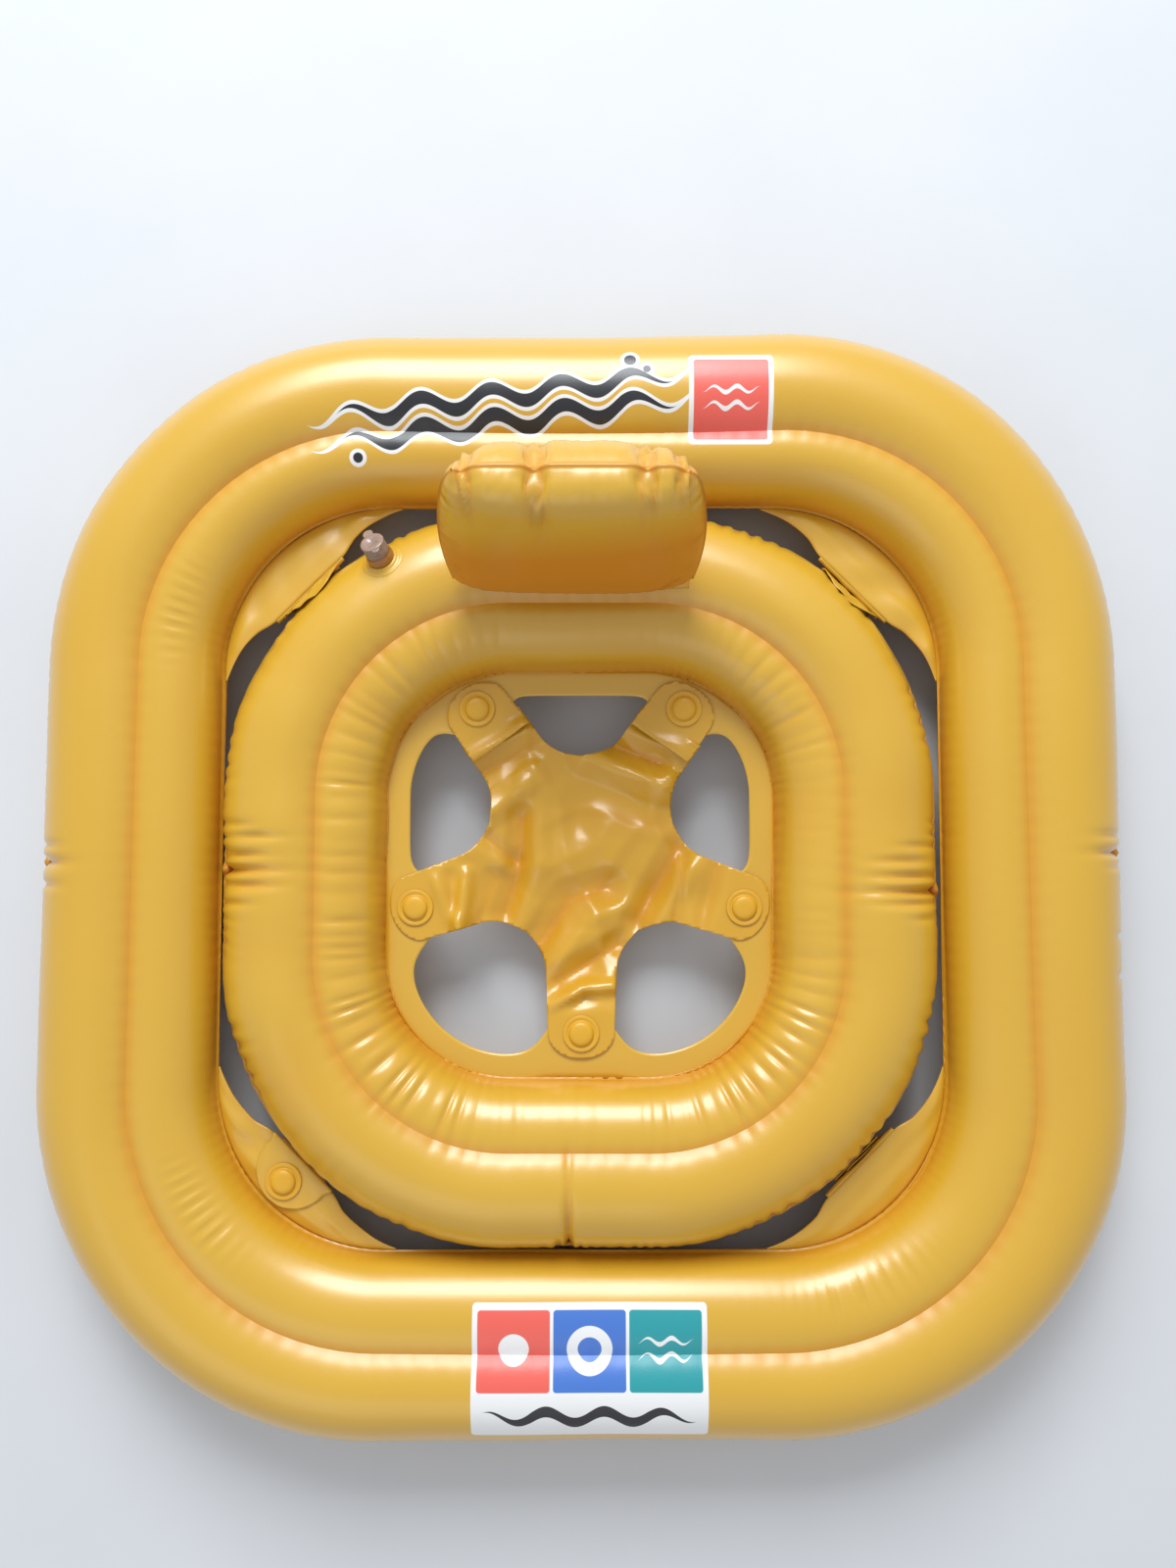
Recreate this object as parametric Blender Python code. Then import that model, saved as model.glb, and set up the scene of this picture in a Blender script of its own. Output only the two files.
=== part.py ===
"""Baby swim float: an outer ring snapped at its corners to an inner ring with a sling seat and a backrest.

Each ring is two welded films and an inner partition that pulls the tube into two lobes. All is in metres.
+X is the baby's left as seen from above, +Y points to the backrest, +Z is up, and the float stands on z = 0.
"""

import math

import bmesh
import bpy
from mathutils import Matrix, Vector

# Film, welds and the slack that separates pieces that touch
FILM = 0.001
CLEARANCE = 0.0003
WELD_LIP = 0.0012
STANDING_FLAT = 0.0005

# Outer ring
OUTER_WIDTH = 0.714
OUTER_DEPTH = 0.728
OUTER_CORNER = 0.228
OUTER_LOBES = (0.042, 0.035)
OUTER_PARTITION = 0.066

# Inner ring
INNER_WIDTH = 0.475
INNER_DEPTH = 0.487
INNER_CORNER = 0.192
INNER_LOBES = (0.042, 0.0345)
INNER_PARTITION = 0.068
INNER_SHIFT = (-0.001, -0.001)

PARTITION_VENTS = 8
VENT_RADIUS = 0.008

# Facets
CORNER_STEPS = 7
LOBE_STEPS = (7, 5)
ROUND_STEPS = 14
SMALL_ROUND_STEPS = 12

# Snap fasteners
CAP_RADIUS = 0.012
CAP_THICK = 0.0012
CAP_RIM = 0.0006
CAP_RIM_WIDTHS = (0.0012, 0.0026)
DOME_RADIUS = 0.0061
DOME_HEIGHT = 0.0034
SOCKET_RADIUS = 0.0049
STUD_FLANGE_RADIUS = 0.011
STUD_FLANGE_THICK = 0.0012
STUD_POST_RADIUS = 0.0038
STUD_HEAD_RADIUS = 0.0044
STUD_HEAD_HEIGHT = 0.0024
STUD_HEAD_EDGE = 0.0014
STUD_HOLE_RADIUS = 0.0042
SOCKET_HOLE_RADIUS = 0.0054

# Corner webs of the outer ring and the tabs of the inner ring that they snap to
TONGUE_HALF_WIDTH = 0.025
WEB_EDGE_HALF_WIDTH = 0.031
TAB_HALF_WIDTH = 0.020
TAB_END = 0.030
CORNER_SNAP = 0.0150
CAP_PAST_TURN = 0.001
UNDER_TURN = CORNER_SNAP + CAP_RADIUS - CAP_PAST_TURN
UNDER_FOLD_EDGE = 0.004
UNDER_FOLD_RADIUS = 0.0016
UNDER_TAB_DROP = 0.0102
OVER_FOLD_RADIUS = 0.0012
OVER_FOLD_EDGE = 0.0008
OVER_WEB_LIFT = 0.0006
OVER_TONGUE_END = 0.030
TONGUE_LIFT = 0.003
TONGUE_CLIMB = 28.0
UNDER_WEB_TAPER = ((0.004, 0.058), (0.002, 0.042))
OVER_WEB_TAPER = ((0.0045, 0.050), (0.0025, 0.034))
TONGUE_BEND = ((0.0034, 1.0), (0.0014, 0.84), (0.0006, 0.6), (0.0, 0.25))
CLIMB_ANGLES = (4, 10, 16, 21, 25)
TAB_BEND = ((0.0009, 0.2), (0.0016, 0.75), (0.0032, 1.0))
TAB_END_SHARES = (0.0, 0.35, 0.6, 0.8, 0.93, 0.99)

# Seat rim and sling
RIM_WIDTH = 0.0145
RIM_STEP = 5
LUG_HALF_WIDTH = 0.024
SNAP_TO_LUG_EDGE = 0.0128
SEAT_CENTRE = (0.0, 0.013)
SEAT_SNAPS = {
    "rear_right": (0.0690, 0.1095),
    "rear_left": (-0.0700, 0.1095),
    "left": (-0.1105, -0.0235),
    "front": (0.0, -0.1065),
    "right": (0.1085, -0.0235),
}
FOLDED_ARMS = ("rear_right", "rear_left")
ARM_HALF_WIDTH = 0.0235
ARM_END_RADIUS = 0.0165
CROTCH_RADIUS = 0.065
ARM_FLARE_END = 0.080
SEAT_SAG = 0.007
ARM_FOLD_TO_SNAP = 0.027
ARM_TURN_TO_SNAP = 0.0152
ARM_FOLD_RADIUS = 0.0012
ARM_LANDING = 0.016
FOLDED_ARM_STRAIGHT = 0.007
FOLDED_ARM_SPREAD = 0.0008

# Backrest cushion
BACKREST_WIDTH = 0.150
BACKREST_HEIGHT = 0.1166
BACKREST_FRONT_DEPTH = 0.022
BACKREST_REAR_DEPTH = 0.0285
BACKREST_LEAN = 20.5
BACKREST_Y = 0.187
BACKREST_TOP_FLARE = 0.03
BACKREST_CORNER_ROUND = 0.045
BACKREST_BASE_DRAW = (0.55, 0.35)
BACKREST_STEPS = (12, 10)
HEM_DEPTH = 0.012
HEM_WIDTH_SHARE = 0.94
HEM_FORWARD = 0.85
FACET_RISE = 0.0009

# Valves
VALVE_STEM_RADIUS = 0.0078
VALVE_HOLE_RADIUS = VALVE_STEM_RADIUS + 0.0005
VALVE_HOLE_REACH = 0.006
VALVE_FLANGE_RADIUS = VALVE_STEM_RADIUS + 0.0062
VALVE_COLLAR_RADIUS = VALVE_STEM_RADIUS + 0.0018
VALVE_COLLAR_TOP = -0.0042
VALVE_SLEEVE_RADII = (VALVE_STEM_RADIUS + 0.0028, VALVE_STEM_RADIUS + 0.0014)
VALVE_SLEEVE_HEIGHT = 0.0026
VALVE_TIP_RADIUS = VALVE_STEM_RADIUS - 0.0002
VALVE_BORE = 0.0041
VALVE_TOP = 0.0147
VALVE_BOTTOM = -0.0078
VALVE_TRAVEL = 0.010
PLUG_RADIUS = VALVE_STEM_RADIUS + 0.00005
PLUG_THICK = 0.002
PEG_RADII = (0.0035, 0.0028)
PEG_LENGTH = 0.004
PLUG_HINGE = VALVE_STEM_RADIUS + 0.0012
PULL_TAB_RADIUS = 0.003
FLAP_RADIUS = 0.0052
FLAP_THICK = 0.0008
INNER_VALVE_INSET = 0.019
OUTER_VALVE_INSET = 0.007
INNER_VALVE_TURN = 118.5
OUTER_VALVE_TURN = 225.0

MID = OUTER_LOBES[0] - STANDING_FLAT

FILM_YELLOW = (0.86, 0.49, 0.035, 1.0)
SNAP_YELLOW = (0.88, 0.52, 0.06, 1.0)
VALVE_CLEAR = (0.80, 0.62, 0.52, 1.0)


def clear_scene():
    for obj in list(bpy.data.objects):
        bpy.data.objects.remove(obj, do_unlink=True)


def make_material(name, colour, roughness, transmission=0.0):
    material = bpy.data.materials.new(name)
    material.use_nodes = True
    shader = material.node_tree.nodes["Principled BSDF"]
    shader.inputs["Base Color"].default_value = colour
    shader.inputs["Roughness"].default_value = roughness
    shader.inputs["Metallic"].default_value = 0.0
    shader.inputs["Transmission Weight"].default_value = transmission
    return material


def new_object(name, points, faces, material=None, matrix=None, smooth=True):
    """One object from points and faces, whose origin is the frame in matrix."""
    mesh = bpy.data.meshes.new(name)
    mesh.from_pydata([tuple(point) for point in points], [], faces)
    mesh.update()
    obj = bpy.data.objects.new(name, mesh)
    bpy.context.scene.collection.objects.link(obj)
    if matrix is not None:
        obj.matrix_world = matrix
    if material is not None:
        mesh.materials.append(material)
    if smooth:
        mesh.shade_smooth()
        mesh.set_sharp_from_angle(angle=math.radians(35))
    return obj


def give_thickness(obj, offset):
    """Turns a film drawn as a surface into a closed sheet: offset -1 keeps the outer face, 0 the middle."""
    solidify = obj.modifiers.new("film", "SOLIDIFY")
    solidify.thickness = FILM
    solidify.offset = offset
    solidify.use_even_offset = True
    return obj


def grid_faces(rows, columns, closed=False, flip=False):
    """Quads over a grid of points stored row by row. A closed grid joins its last row to its first."""
    faces = []
    for row in range(rows if closed else rows - 1):
        following = (row + 1) % rows
        for column in range(columns - 1):
            quad = [
                row * columns + column,
                following * columns + column,
                following * columns + column + 1,
                row * columns + column + 1,
            ]
            faces.append(quad[::-1] if flip else quad)
    return faces


def lathe(name, profile, steps, material=None, matrix=None):
    """A turned piece from a closed profile of (radius, height) that runs counter-clockwise round its section.

    Where the profile meets the axis, the point there is single, and its way along the axis makes no faces.
    """
    points, rings = [], []
    for radius, height in profile:
        count = 1 if radius == 0.0 else steps
        rings.append(list(range(len(points), len(points) + count)))
        for step in range(count):
            turn = 2 * math.pi * step / steps
            points.append((radius * math.cos(turn), radius * math.sin(turn), height))
    faces = []
    for lower, upper in zip(rings, rings[1:] + rings[:1]):
        if len(lower) == len(upper) == 1:
            continue
        for step in range(steps):
            after = (step + 1) % steps
            if len(lower) == 1:
                faces.append([lower[0], upper[after], upper[step]])
            elif len(upper) == 1:
                faces.append([lower[step], lower[after], upper[0]])
            else:
                faces.append([lower[step], lower[after], upper[after], upper[step]])
    return new_object(name, points, faces, material, matrix)


def cutter(name, places, radius, reach, steps=SMALL_ROUND_STEPS):
    """One hidden helper that holds a closed cylinder along Z of each matrix in places."""
    bm = bmesh.new()
    for place in places:
        bmesh.ops.create_cone(
            bm, cap_ends=True, segments=steps, radius1=radius, radius2=radius, depth=2 * reach, matrix=place
        )
    mesh = bpy.data.meshes.new(name)
    bm.to_mesh(mesh)
    bm.free()
    obj = bpy.data.objects.new(name, mesh)
    bpy.context.scene.collection.objects.link(obj)
    obj.hide_render = True
    obj.display_type = "WIRE"
    return obj


def combine(obj, helper, operation):
    boolean = obj.modifiers.new(operation.lower(), "BOOLEAN")
    boolean.operation = operation
    boolean.solver = "EXACT"
    boolean.object = helper


class Ring:
    """The sizes of one ring and what follows from them. An inset is a distance in from the outer edge."""

    def __init__(self, width, depth, corner, lobes, partition, shift=(0.0, 0.0)):
        self.corner = corner
        self.half = (width / 2, depth / 2)
        self.shift = shift
        self.lobes = lobes
        self.half_partition = partition / 2
        self.reach = [math.sqrt(r * r - self.half_partition**2) for r in lobes]
        self.crease = WELD_LIP + lobes[0] + self.reach[0]
        self.tube = self.crease + self.reach[1] + lobes[1] + WELD_LIP

    def path(self, inset, steps=CORNER_STEPS):
        """Points of the rounded rectangle at this inset, counter-clockwise from the +X side."""
        radius = self.corner - inset
        points = []
        for quarter, (sign_x, sign_y) in enumerate(((1, 1), (-1, 1), (-1, -1), (1, -1))):
            centre_x = self.shift[0] + sign_x * (self.half[0] - self.corner)
            centre_y = self.shift[1] + sign_y * (self.half[1] - self.corner)
            for step in range(steps):
                turn = math.radians(90 * (quarter + step / (steps - 1)))
                points.append((centre_x + radius * math.cos(turn), centre_y + radius * math.sin(turn)))
        return points

    def arc_of_outer_lobe(self):
        """Angles on the outer lobe's circle from weld to crease, with the standing flat's ends among them."""
        start = math.asin((FILM + CLEARANCE / 2) / self.lobes[0])
        end = math.pi - math.asin(self.half_partition / self.lobes[0])
        flat = math.acos(1 - STANDING_FLAT / self.lobes[0])
        before, after = LOBE_STEPS[0] // 2, LOBE_STEPS[0] - LOBE_STEPS[0] // 2 - 1
        first = [start + (math.pi / 2 - flat - start) * k / before for k in range(before + 1)]
        second = [math.pi / 2 + flat + (end - math.pi / 2 - flat) * k / after for k in range(after + 1)]
        return first + second

    def arc_of_inner_lobe(self):
        start = math.asin(self.half_partition / self.lobes[1])
        end = math.pi - math.asin((FILM + CLEARANCE / 2) / self.lobes[1])
        return [start + (end - start) * k / LOBE_STEPS[1] for k in range(1, LOBE_STEPS[1] + 1)]

    def profile(self):
        """(inset, height above the welds) over the two lobes of one film, from lip to lip."""
        lip = FILM + CLEARANCE / 2
        points = [(0.0, lip)]
        for turn in self.arc_of_outer_lobe():
            height = min(self.lobes[0] * math.sin(turn), MID)
            points.append((WELD_LIP + self.lobes[0] * (1 - math.cos(turn)), height))
        centre = self.crease + self.reach[1]
        for turn in self.arc_of_inner_lobe():
            points.append((centre - self.lobes[1] * math.cos(turn), self.lobes[1] * math.sin(turn)))
        points.append((self.tube, lip))
        return points

    def lobe_height(self, inset):
        """Height of the outer lobe's top above the floor at this inset."""
        across = WELD_LIP + self.lobes[0] - inset
        return MID + math.sqrt(self.lobes[0] ** 2 - across**2)


OUTER = Ring(OUTER_WIDTH, OUTER_DEPTH, OUTER_CORNER, OUTER_LOBES, OUTER_PARTITION)
INNER = Ring(INNER_WIDTH, INNER_DEPTH, INNER_CORNER, INNER_LOBES, INNER_PARTITION, INNER_SHIFT)


def ring_skin(name, ring, side, material):
    """The upper (side 1) or lower (side -1) film of a ring."""
    profile = ring.profile()
    paths = [ring.path(inset) for inset, _ in profile]
    points = []
    for along in range(len(paths[0])):
        for (_, height), path in zip(profile, paths):
            x, y = path[along]
            points.append((x, y, MID + side * height))
    faces = grid_faces(len(paths[0]), len(profile), closed=True, flip=side < 0)
    return give_thickness(new_object(name, points, faces, material), -1)


def ring_partition(name, ring, material):
    """The upright band between the films at the crease, with vents so that one valve fills both lobes."""
    half_height = ring.half_partition - FILM * 1.25 - CLEARANCE
    path = ring.path(ring.crease)
    points = []
    for x, y in path:
        points.append((x, y, MID + half_height))
        points.append((x, y, MID - half_height))
    faces = grid_faces(len(path), 2, closed=True, flip=True)
    band = give_thickness(new_object(name, points, faces, material), 0)
    places = []
    reach = 2 * FILM
    wide, deep = ring.half[0] - ring.crease, ring.half[1] - ring.crease
    spread = PARTITION_VENTS // 4
    for vent in range(spread):
        along = (vent - (spread - 1) / 2) * (wide - ring.corner / 2) / spread
        for sign in (1, -1):
            across_y = Matrix.Rotation(math.radians(90), 4, "X")
            across_x = Matrix.Rotation(math.radians(90), 4, "Y")
            at_y = (ring.shift[0] + along, ring.shift[1] + sign * deep, MID)
            at_x = (ring.shift[0] + sign * wide, ring.shift[1] + along, MID)
            places.append(Matrix.Translation(at_y) @ across_y)
            places.append(Matrix.Translation(at_x) @ across_x)
    combine(band, cutter(name + "_vents", places, VENT_RADIUS, reach, steps=10), "DIFFERENCE")
    return band


def film_strip(name, stations, material, matrix=None, edge_radius=0.0, across=2):
    """A cut and folded film. Each station is (out, up, half width), in a frame whose X is out and Z is up.

    Where edge_radius is given, the first station follows an arc of that radius that curves towards +X.
    """
    points = []
    for index, (out, up, half_width) in enumerate(stations):
        for place in range(across):
            side = half_width * (2 * place / (across - 1) - 1)
            bend = 0.0
            if index == 0 and edge_radius:
                bend = edge_radius - math.sqrt(edge_radius**2 - side**2)
            points.append((out - bend, up, side))
    faces = grid_faces(len(stations), across)
    points = [(x, y, z) for x, z, y in points]
    return give_thickness(new_object(name, points, faces, material, matrix, smooth=False), 0)


def turn_stations(out, up, radius, start, end, half_width, steps=4):
    """Stations round a fold, whose angles are measured from +X towards +Z."""
    found = []
    for step in range(steps + 1):
        angle = math.radians(start + (end - start) * step / steps)
        found.append((out + radius * math.cos(angle), up + radius * math.sin(angle), half_width))
    return found


def round_end(path, radius, steps=6):
    """Stations along the last part of a path of (out, up) points, whose width closes in a half circle."""
    lengths = [0.0]
    for before, after in zip(path, path[1:]):
        lengths.append(lengths[-1] + math.hypot(after[0] - before[0], after[1] - before[1]))
    found = []
    for (out, up), length in zip(path, lengths):
        left = max(lengths[-1] - length, 0.0)
        share = min(left / radius, 1.0)
        half_width = radius * math.sqrt(max(1 - (1 - share) ** 2, 0.0))
        found.append((out, up, max(half_width, radius * 0.22)))
    return found


def corner_frame(sign_x, sign_y):
    """A frame at the middle of the chord under a corner of the outer ring's opening, with X outwards."""
    radius = OUTER_CORNER - OUTER.tube
    middle = radius / 2
    x = sign_x * (OUTER.half[0] - OUTER_CORNER + middle)
    y = sign_y * (OUTER.half[1] - OUTER_CORNER + middle)
    turn = math.atan2(sign_y, sign_x)
    return Matrix.Translation((x, y, MID)) @ Matrix.Rotation(turn, 4, "Z")


def weld_edge_of_inner_ring(frame, sign_x, sign_y):
    """How far out the inner ring's outer weld lies in a corner's frame."""
    reach = INNER_CORNER / math.sqrt(2)
    x = INNER.shift[0] + sign_x * (INNER.half[0] - INNER_CORNER + reach)
    y = INNER.shift[1] + sign_y * (INNER.half[1] - INNER_CORNER + reach)
    return (frame.inverted() @ Vector((x, y, MID))).x


def web_segment(rise):
    """Stations of a web from its weld at the corner's arc to near its chord, rising towards the inner ring.

    They follow the facets of the ring's edge, which the corner's diagonal meets at one of their ends.
    """
    radius = OUTER_CORNER - OUTER.tube - 2 * CLEARANCE
    chord = radius / math.sqrt(2)
    top = radius - chord
    facet = 90 / (CORNER_STEPS - 1)
    ends = []
    for index in range(CORNER_STEPS // 2 + 1):
        turn = math.radians(facet * index)
        ends.append(Vector((radius * math.cos(turn) - chord, radius * math.sin(turn))))
    outline = [ends[0].lerp(ends[1], 0.1)] + ends[1:-1] + [ends[-2].lerp(ends[-1], 0.6)]
    return [(out, rise * (1 - out / top), side) for out, side in outline]


def folded_under_web(weld_edge, climbs):
    """Stations of a web whose tongue goes under it in a Z fold and comes out along the inner ring."""
    stations = web_segment(TONGUE_LIFT)
    edge = UNDER_FOLD_EDGE
    stations += [(edge + past, TONGUE_LIFT, half_width) for past, half_width in UNDER_WEB_TAPER]
    fold_up = TONGUE_LIFT - UNDER_FOLD_RADIUS
    stations += turn_stations(edge, fold_up, UNDER_FOLD_RADIUS, 90, 270, WEB_EDGE_HALF_WIDTH)
    snap_up = -UNDER_TAB_DROP + FILM + 2 * CLEARANCE
    turn_top = fold_up - UNDER_FOLD_RADIUS - FILM
    turn_radius = (turn_top - snap_up) / 2
    stations.append((edge + 0.003, turn_top, TONGUE_HALF_WIDTH))
    stations += turn_stations(
        UNDER_TURN, (turn_top + snap_up) / 2, turn_radius, 90, -90, TONGUE_HALF_WIDTH * 0.78, steps=6
    )
    near_tab = weld_edge + 2.5 * FILM + 2 * CLEARANCE
    tail = [(CORNER_SNAP + 0.004, snap_up), (CORNER_SNAP - 0.006, snap_up)]
    tail += [(near_tab + past, snap_up * share) for past, share in TONGUE_BEND]
    lobe_out = weld_edge - WELD_LIP - INNER_LOBES[0]
    track = INNER_LOBES[0] + FILM + 3 * CLEARANCE
    turns = [*CLIMB_ANGLES, TONGUE_CLIMB] if climbs else CLIMB_ANGLES[:1]
    for angle in turns:
        turn = math.radians(angle)
        tail.append((lobe_out + track * math.cos(turn), track * math.sin(turn)))
    return stations + round_end(tail, TONGUE_HALF_WIDTH)


def folded_over_web():
    """Stations of a web whose tongue is folded back on top of it, with its cap in view."""
    lift = OVER_WEB_LIFT
    stations = web_segment(lift)
    stations += [(past, lift, half_width) for past, half_width in OVER_WEB_TAPER]
    stations += turn_stations(
        OVER_FOLD_EDGE, lift + OVER_FOLD_RADIUS, OVER_FOLD_RADIUS, 270, 90, TONGUE_HALF_WIDTH
    )
    top = lift + 2 * OVER_FOLD_RADIUS
    tail = [(out, top) for out in (0.003, 0.008, 0.013, 0.018, 0.022, 0.0255, 0.028, OVER_TONGUE_END)]
    return stations + round_end(tail, TONGUE_HALF_WIDTH)


def snap_cap(name, place, material):
    """The cap of a snap: a disc with a raised rim and a hollow dome, open below. Its frame is on its film."""
    base = FILM / 2 + CLEARANCE
    top = base + CAP_THICK
    dome = top + DOME_HEIGHT
    profile = [
        (SOCKET_RADIUS, base),
        (CAP_RADIUS, base),
        (CAP_RADIUS, top + CAP_RIM * 0.5),
        (CAP_RADIUS - CAP_RIM_WIDTHS[0], top + CAP_RIM),
        (CAP_RADIUS - CAP_RIM_WIDTHS[1], top),
        (DOME_RADIUS + 0.0006, top),
        (DOME_RADIUS, top + DOME_HEIGHT * 0.6),
        (DOME_RADIUS * 0.6, dome),
        (0.0, dome + 0.0003),
        (0.0, dome - CAP_THICK),
        (SOCKET_RADIUS, dome - CAP_THICK - 0.0006),
    ]
    return lathe(name, profile, ROUND_STEPS, material, place)


def snap_stud(name, place, reach, material):
    """The stud of a snap: a flange under its film, a post, and a head that fills the cap's socket."""
    base = -FILM / 2 - CLEARANCE
    profile = [
        (0.0, base - STUD_FLANGE_THICK),
        (STUD_FLANGE_RADIUS, base - STUD_FLANGE_THICK),
        (STUD_FLANGE_RADIUS, base),
        (STUD_POST_RADIUS, base),
        (STUD_POST_RADIUS, reach - STUD_HEAD_HEIGHT),
        (STUD_HEAD_RADIUS, reach - STUD_HEAD_EDGE),
        (STUD_HEAD_RADIUS * 0.72, reach),
        (0.0, reach),
    ]
    return lathe(name, profile, SMALL_ROUND_STEPS, material, place)


def make_corner(label, sign_x, sign_y, kind, film, snap):
    """One corner: the outer ring's web and cap, and the inner ring's tab and stud under them."""
    frame = corner_frame(sign_x, sign_y)
    weld_edge = weld_edge_of_inner_ring(frame, sign_x, sign_y)
    over = kind == "over"
    if over:
        stations = folded_over_web()
        tab_up = OVER_WEB_LIFT - FILM - 2 * CLEARANCE
        film_up = OVER_WEB_LIFT + 2 * OVER_FOLD_RADIUS
    else:
        stations = folded_under_web(weld_edge, kind == "climbs")
        tab_up = -UNDER_TAB_DROP
        film_up = tab_up + FILM + 2 * CLEARANCE
    web = film_strip(f"{label}_web", stations, film, frame)
    place = frame @ Matrix.Translation((CORNER_SNAP, 0, 0))
    reach = 0.004 if over else 0.0022
    holes = cutter(
        f"{label}_web_hole", [place @ Matrix.Translation((0, 0, film_up - (reach - 0.0015) / 2))],
        SOCKET_HOLE_RADIUS, reach / 2 + 0.0006,
    )
    combine(web, holes, "DIFFERENCE")
    snap_cap(f"{label}_snap_cap", place @ Matrix.Translation((0, 0, film_up)), snap)

    start = weld_edge + 2 * CLEARANCE
    drop = [(start, 0.0, TAB_HALF_WIDTH)]
    if over:
        drop.append((start + 0.002, tab_up, TAB_HALF_WIDTH))
    else:
        drop += [(start + past, tab_up * share, TAB_HALF_WIDTH) for past, share in TAB_BEND]
    end_radius = TAB_END - CORNER_SNAP
    for share in TAB_END_SHARES:
        half_width = TAB_HALF_WIDTH * math.sqrt(1 - share * share)
        drop.append((CORNER_SNAP + end_radius * share, tab_up, half_width))
    tab = film_strip(f"{label}_tab", drop, film, frame, edge_radius=INNER_CORNER, across=5)
    tab_place = place @ Matrix.Translation((0, 0, tab_up))
    combine(tab, cutter(f"{label}_tab_hole", [tab_place], STUD_HOLE_RADIUS, FILM), "DIFFERENCE")
    head = film_up - tab_up + FILM / 2 + CLEARANCE + DOME_HEIGHT - CAP_THICK
    snap_stud(f"{label}_snap_stud", tab_place, head, snap)


def smooth_bump(distance, half_width, softness=7):
    return 1 / (1 + abs(distance / half_width) ** softness)


def rim_opening_point(turn, opening):
    """A point of the rim's inner edge in this direction from the seat's centre, round the five lugs."""
    direction = Vector((math.cos(turn), math.sin(turn)))
    centre = Vector(SEAT_CENTRE)
    reach = distance_to_outline(centre, direction, opening)
    pulled = reach
    for x, y in SEAT_SNAPS.values():
        to_snap = Vector((x, y)) - centre
        off = math.atan2(direction.cross(to_snap), direction.dot(to_snap))
        across = to_snap.length * math.tan(max(min(off, 1.2), -1.2))
        lug = to_snap.length - SNAP_TO_LUG_EDGE
        if lug < reach and abs(off) < 1.0:
            pulled -= (reach - lug) * smooth_bump(across, LUG_HALF_WIDTH)
    point = centre + direction * pulled
    return point.x, point.y


def distance_to_outline(start, direction, outline):
    """How far a ray from inside a closed outline goes before it leaves it."""
    nearest = math.inf
    for (ax, ay), (bx, by) in zip(outline, outline[1:] + outline[:1]):
        edge = Vector((bx - ax, by - ay))
        across = direction.cross(edge)
        if abs(across) < 1e-12:
            continue
        to_start = Vector((ax, ay)) - start
        along = to_start.cross(edge) / across
        on_edge = to_start.cross(direction) / across
        if along > 0 and -1e-9 <= on_edge <= 1 + 1e-9:
            nearest = min(nearest, along)
    return nearest


def make_seat_rim(film, snap):
    """The flat flange welded into the inner ring, with a stud on each of its five lugs."""
    weld = INNER.path(INNER.tube + CLEARANCE)
    opening = INNER.path(INNER.tube + RIM_WIDTH, steps=24)
    centre = Vector(SEAT_CENTRE)
    points = []
    turns = [math.radians(angle) for angle in range(0, 360, RIM_STEP)]
    for turn in turns:
        direction = Vector((math.cos(turn), math.sin(turn)))
        at_weld = centre + direction * (distance_to_outline(centre, direction, weld))
        points.append((at_weld.x, at_weld.y, MID))
        inner_x, inner_y = rim_opening_point(turn, opening)
        points.append((inner_x, inner_y, MID))
    faces = grid_faces(len(turns), 2, closed=True)
    rim = give_thickness(new_object("seat_rim", points, faces, film, smooth=False), 0)
    places = [Matrix.Translation((x, y, MID)) for x, y in SEAT_SNAPS.values()]
    combine(rim, cutter("seat_rim_holes", places, STUD_HOLE_RADIUS, FILM), "DIFFERENCE")
    head = FILM + 2 * CLEARANCE + FILM / 2 + CLEARANCE + DOME_HEIGHT - CAP_THICK
    for (label, _), place in zip(SEAT_SNAPS.items(), places):
        snap_stud(f"seat_{label}_stud", place, head, snap)


def arm_width(from_centre, end):
    """Half width of a sling arm: it flares into the middle and ends in a half circle round its snap."""
    if from_centre < ARM_FLARE_END:
        flare = CROTCH_RADIUS * math.sin(math.radians(36)) - ARM_HALF_WIDTH
        root = CROTCH_RADIUS * math.cos(math.radians(36))
        return ARM_HALF_WIDTH + flare * ((ARM_FLARE_END - from_centre) / (ARM_FLARE_END - root)) ** 2
    past = from_centre - (end - ARM_END_RADIUS)
    if past <= 0:
        share = (from_centre - ARM_FLARE_END) / (end - ARM_END_RADIUS - ARM_FLARE_END)
        return ARM_HALF_WIDTH + (ARM_END_RADIUS - ARM_HALF_WIDTH) * share
    return ARM_END_RADIUS * math.sqrt(max(1 - (past / ARM_END_RADIUS) ** 2, 0.04))


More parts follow.
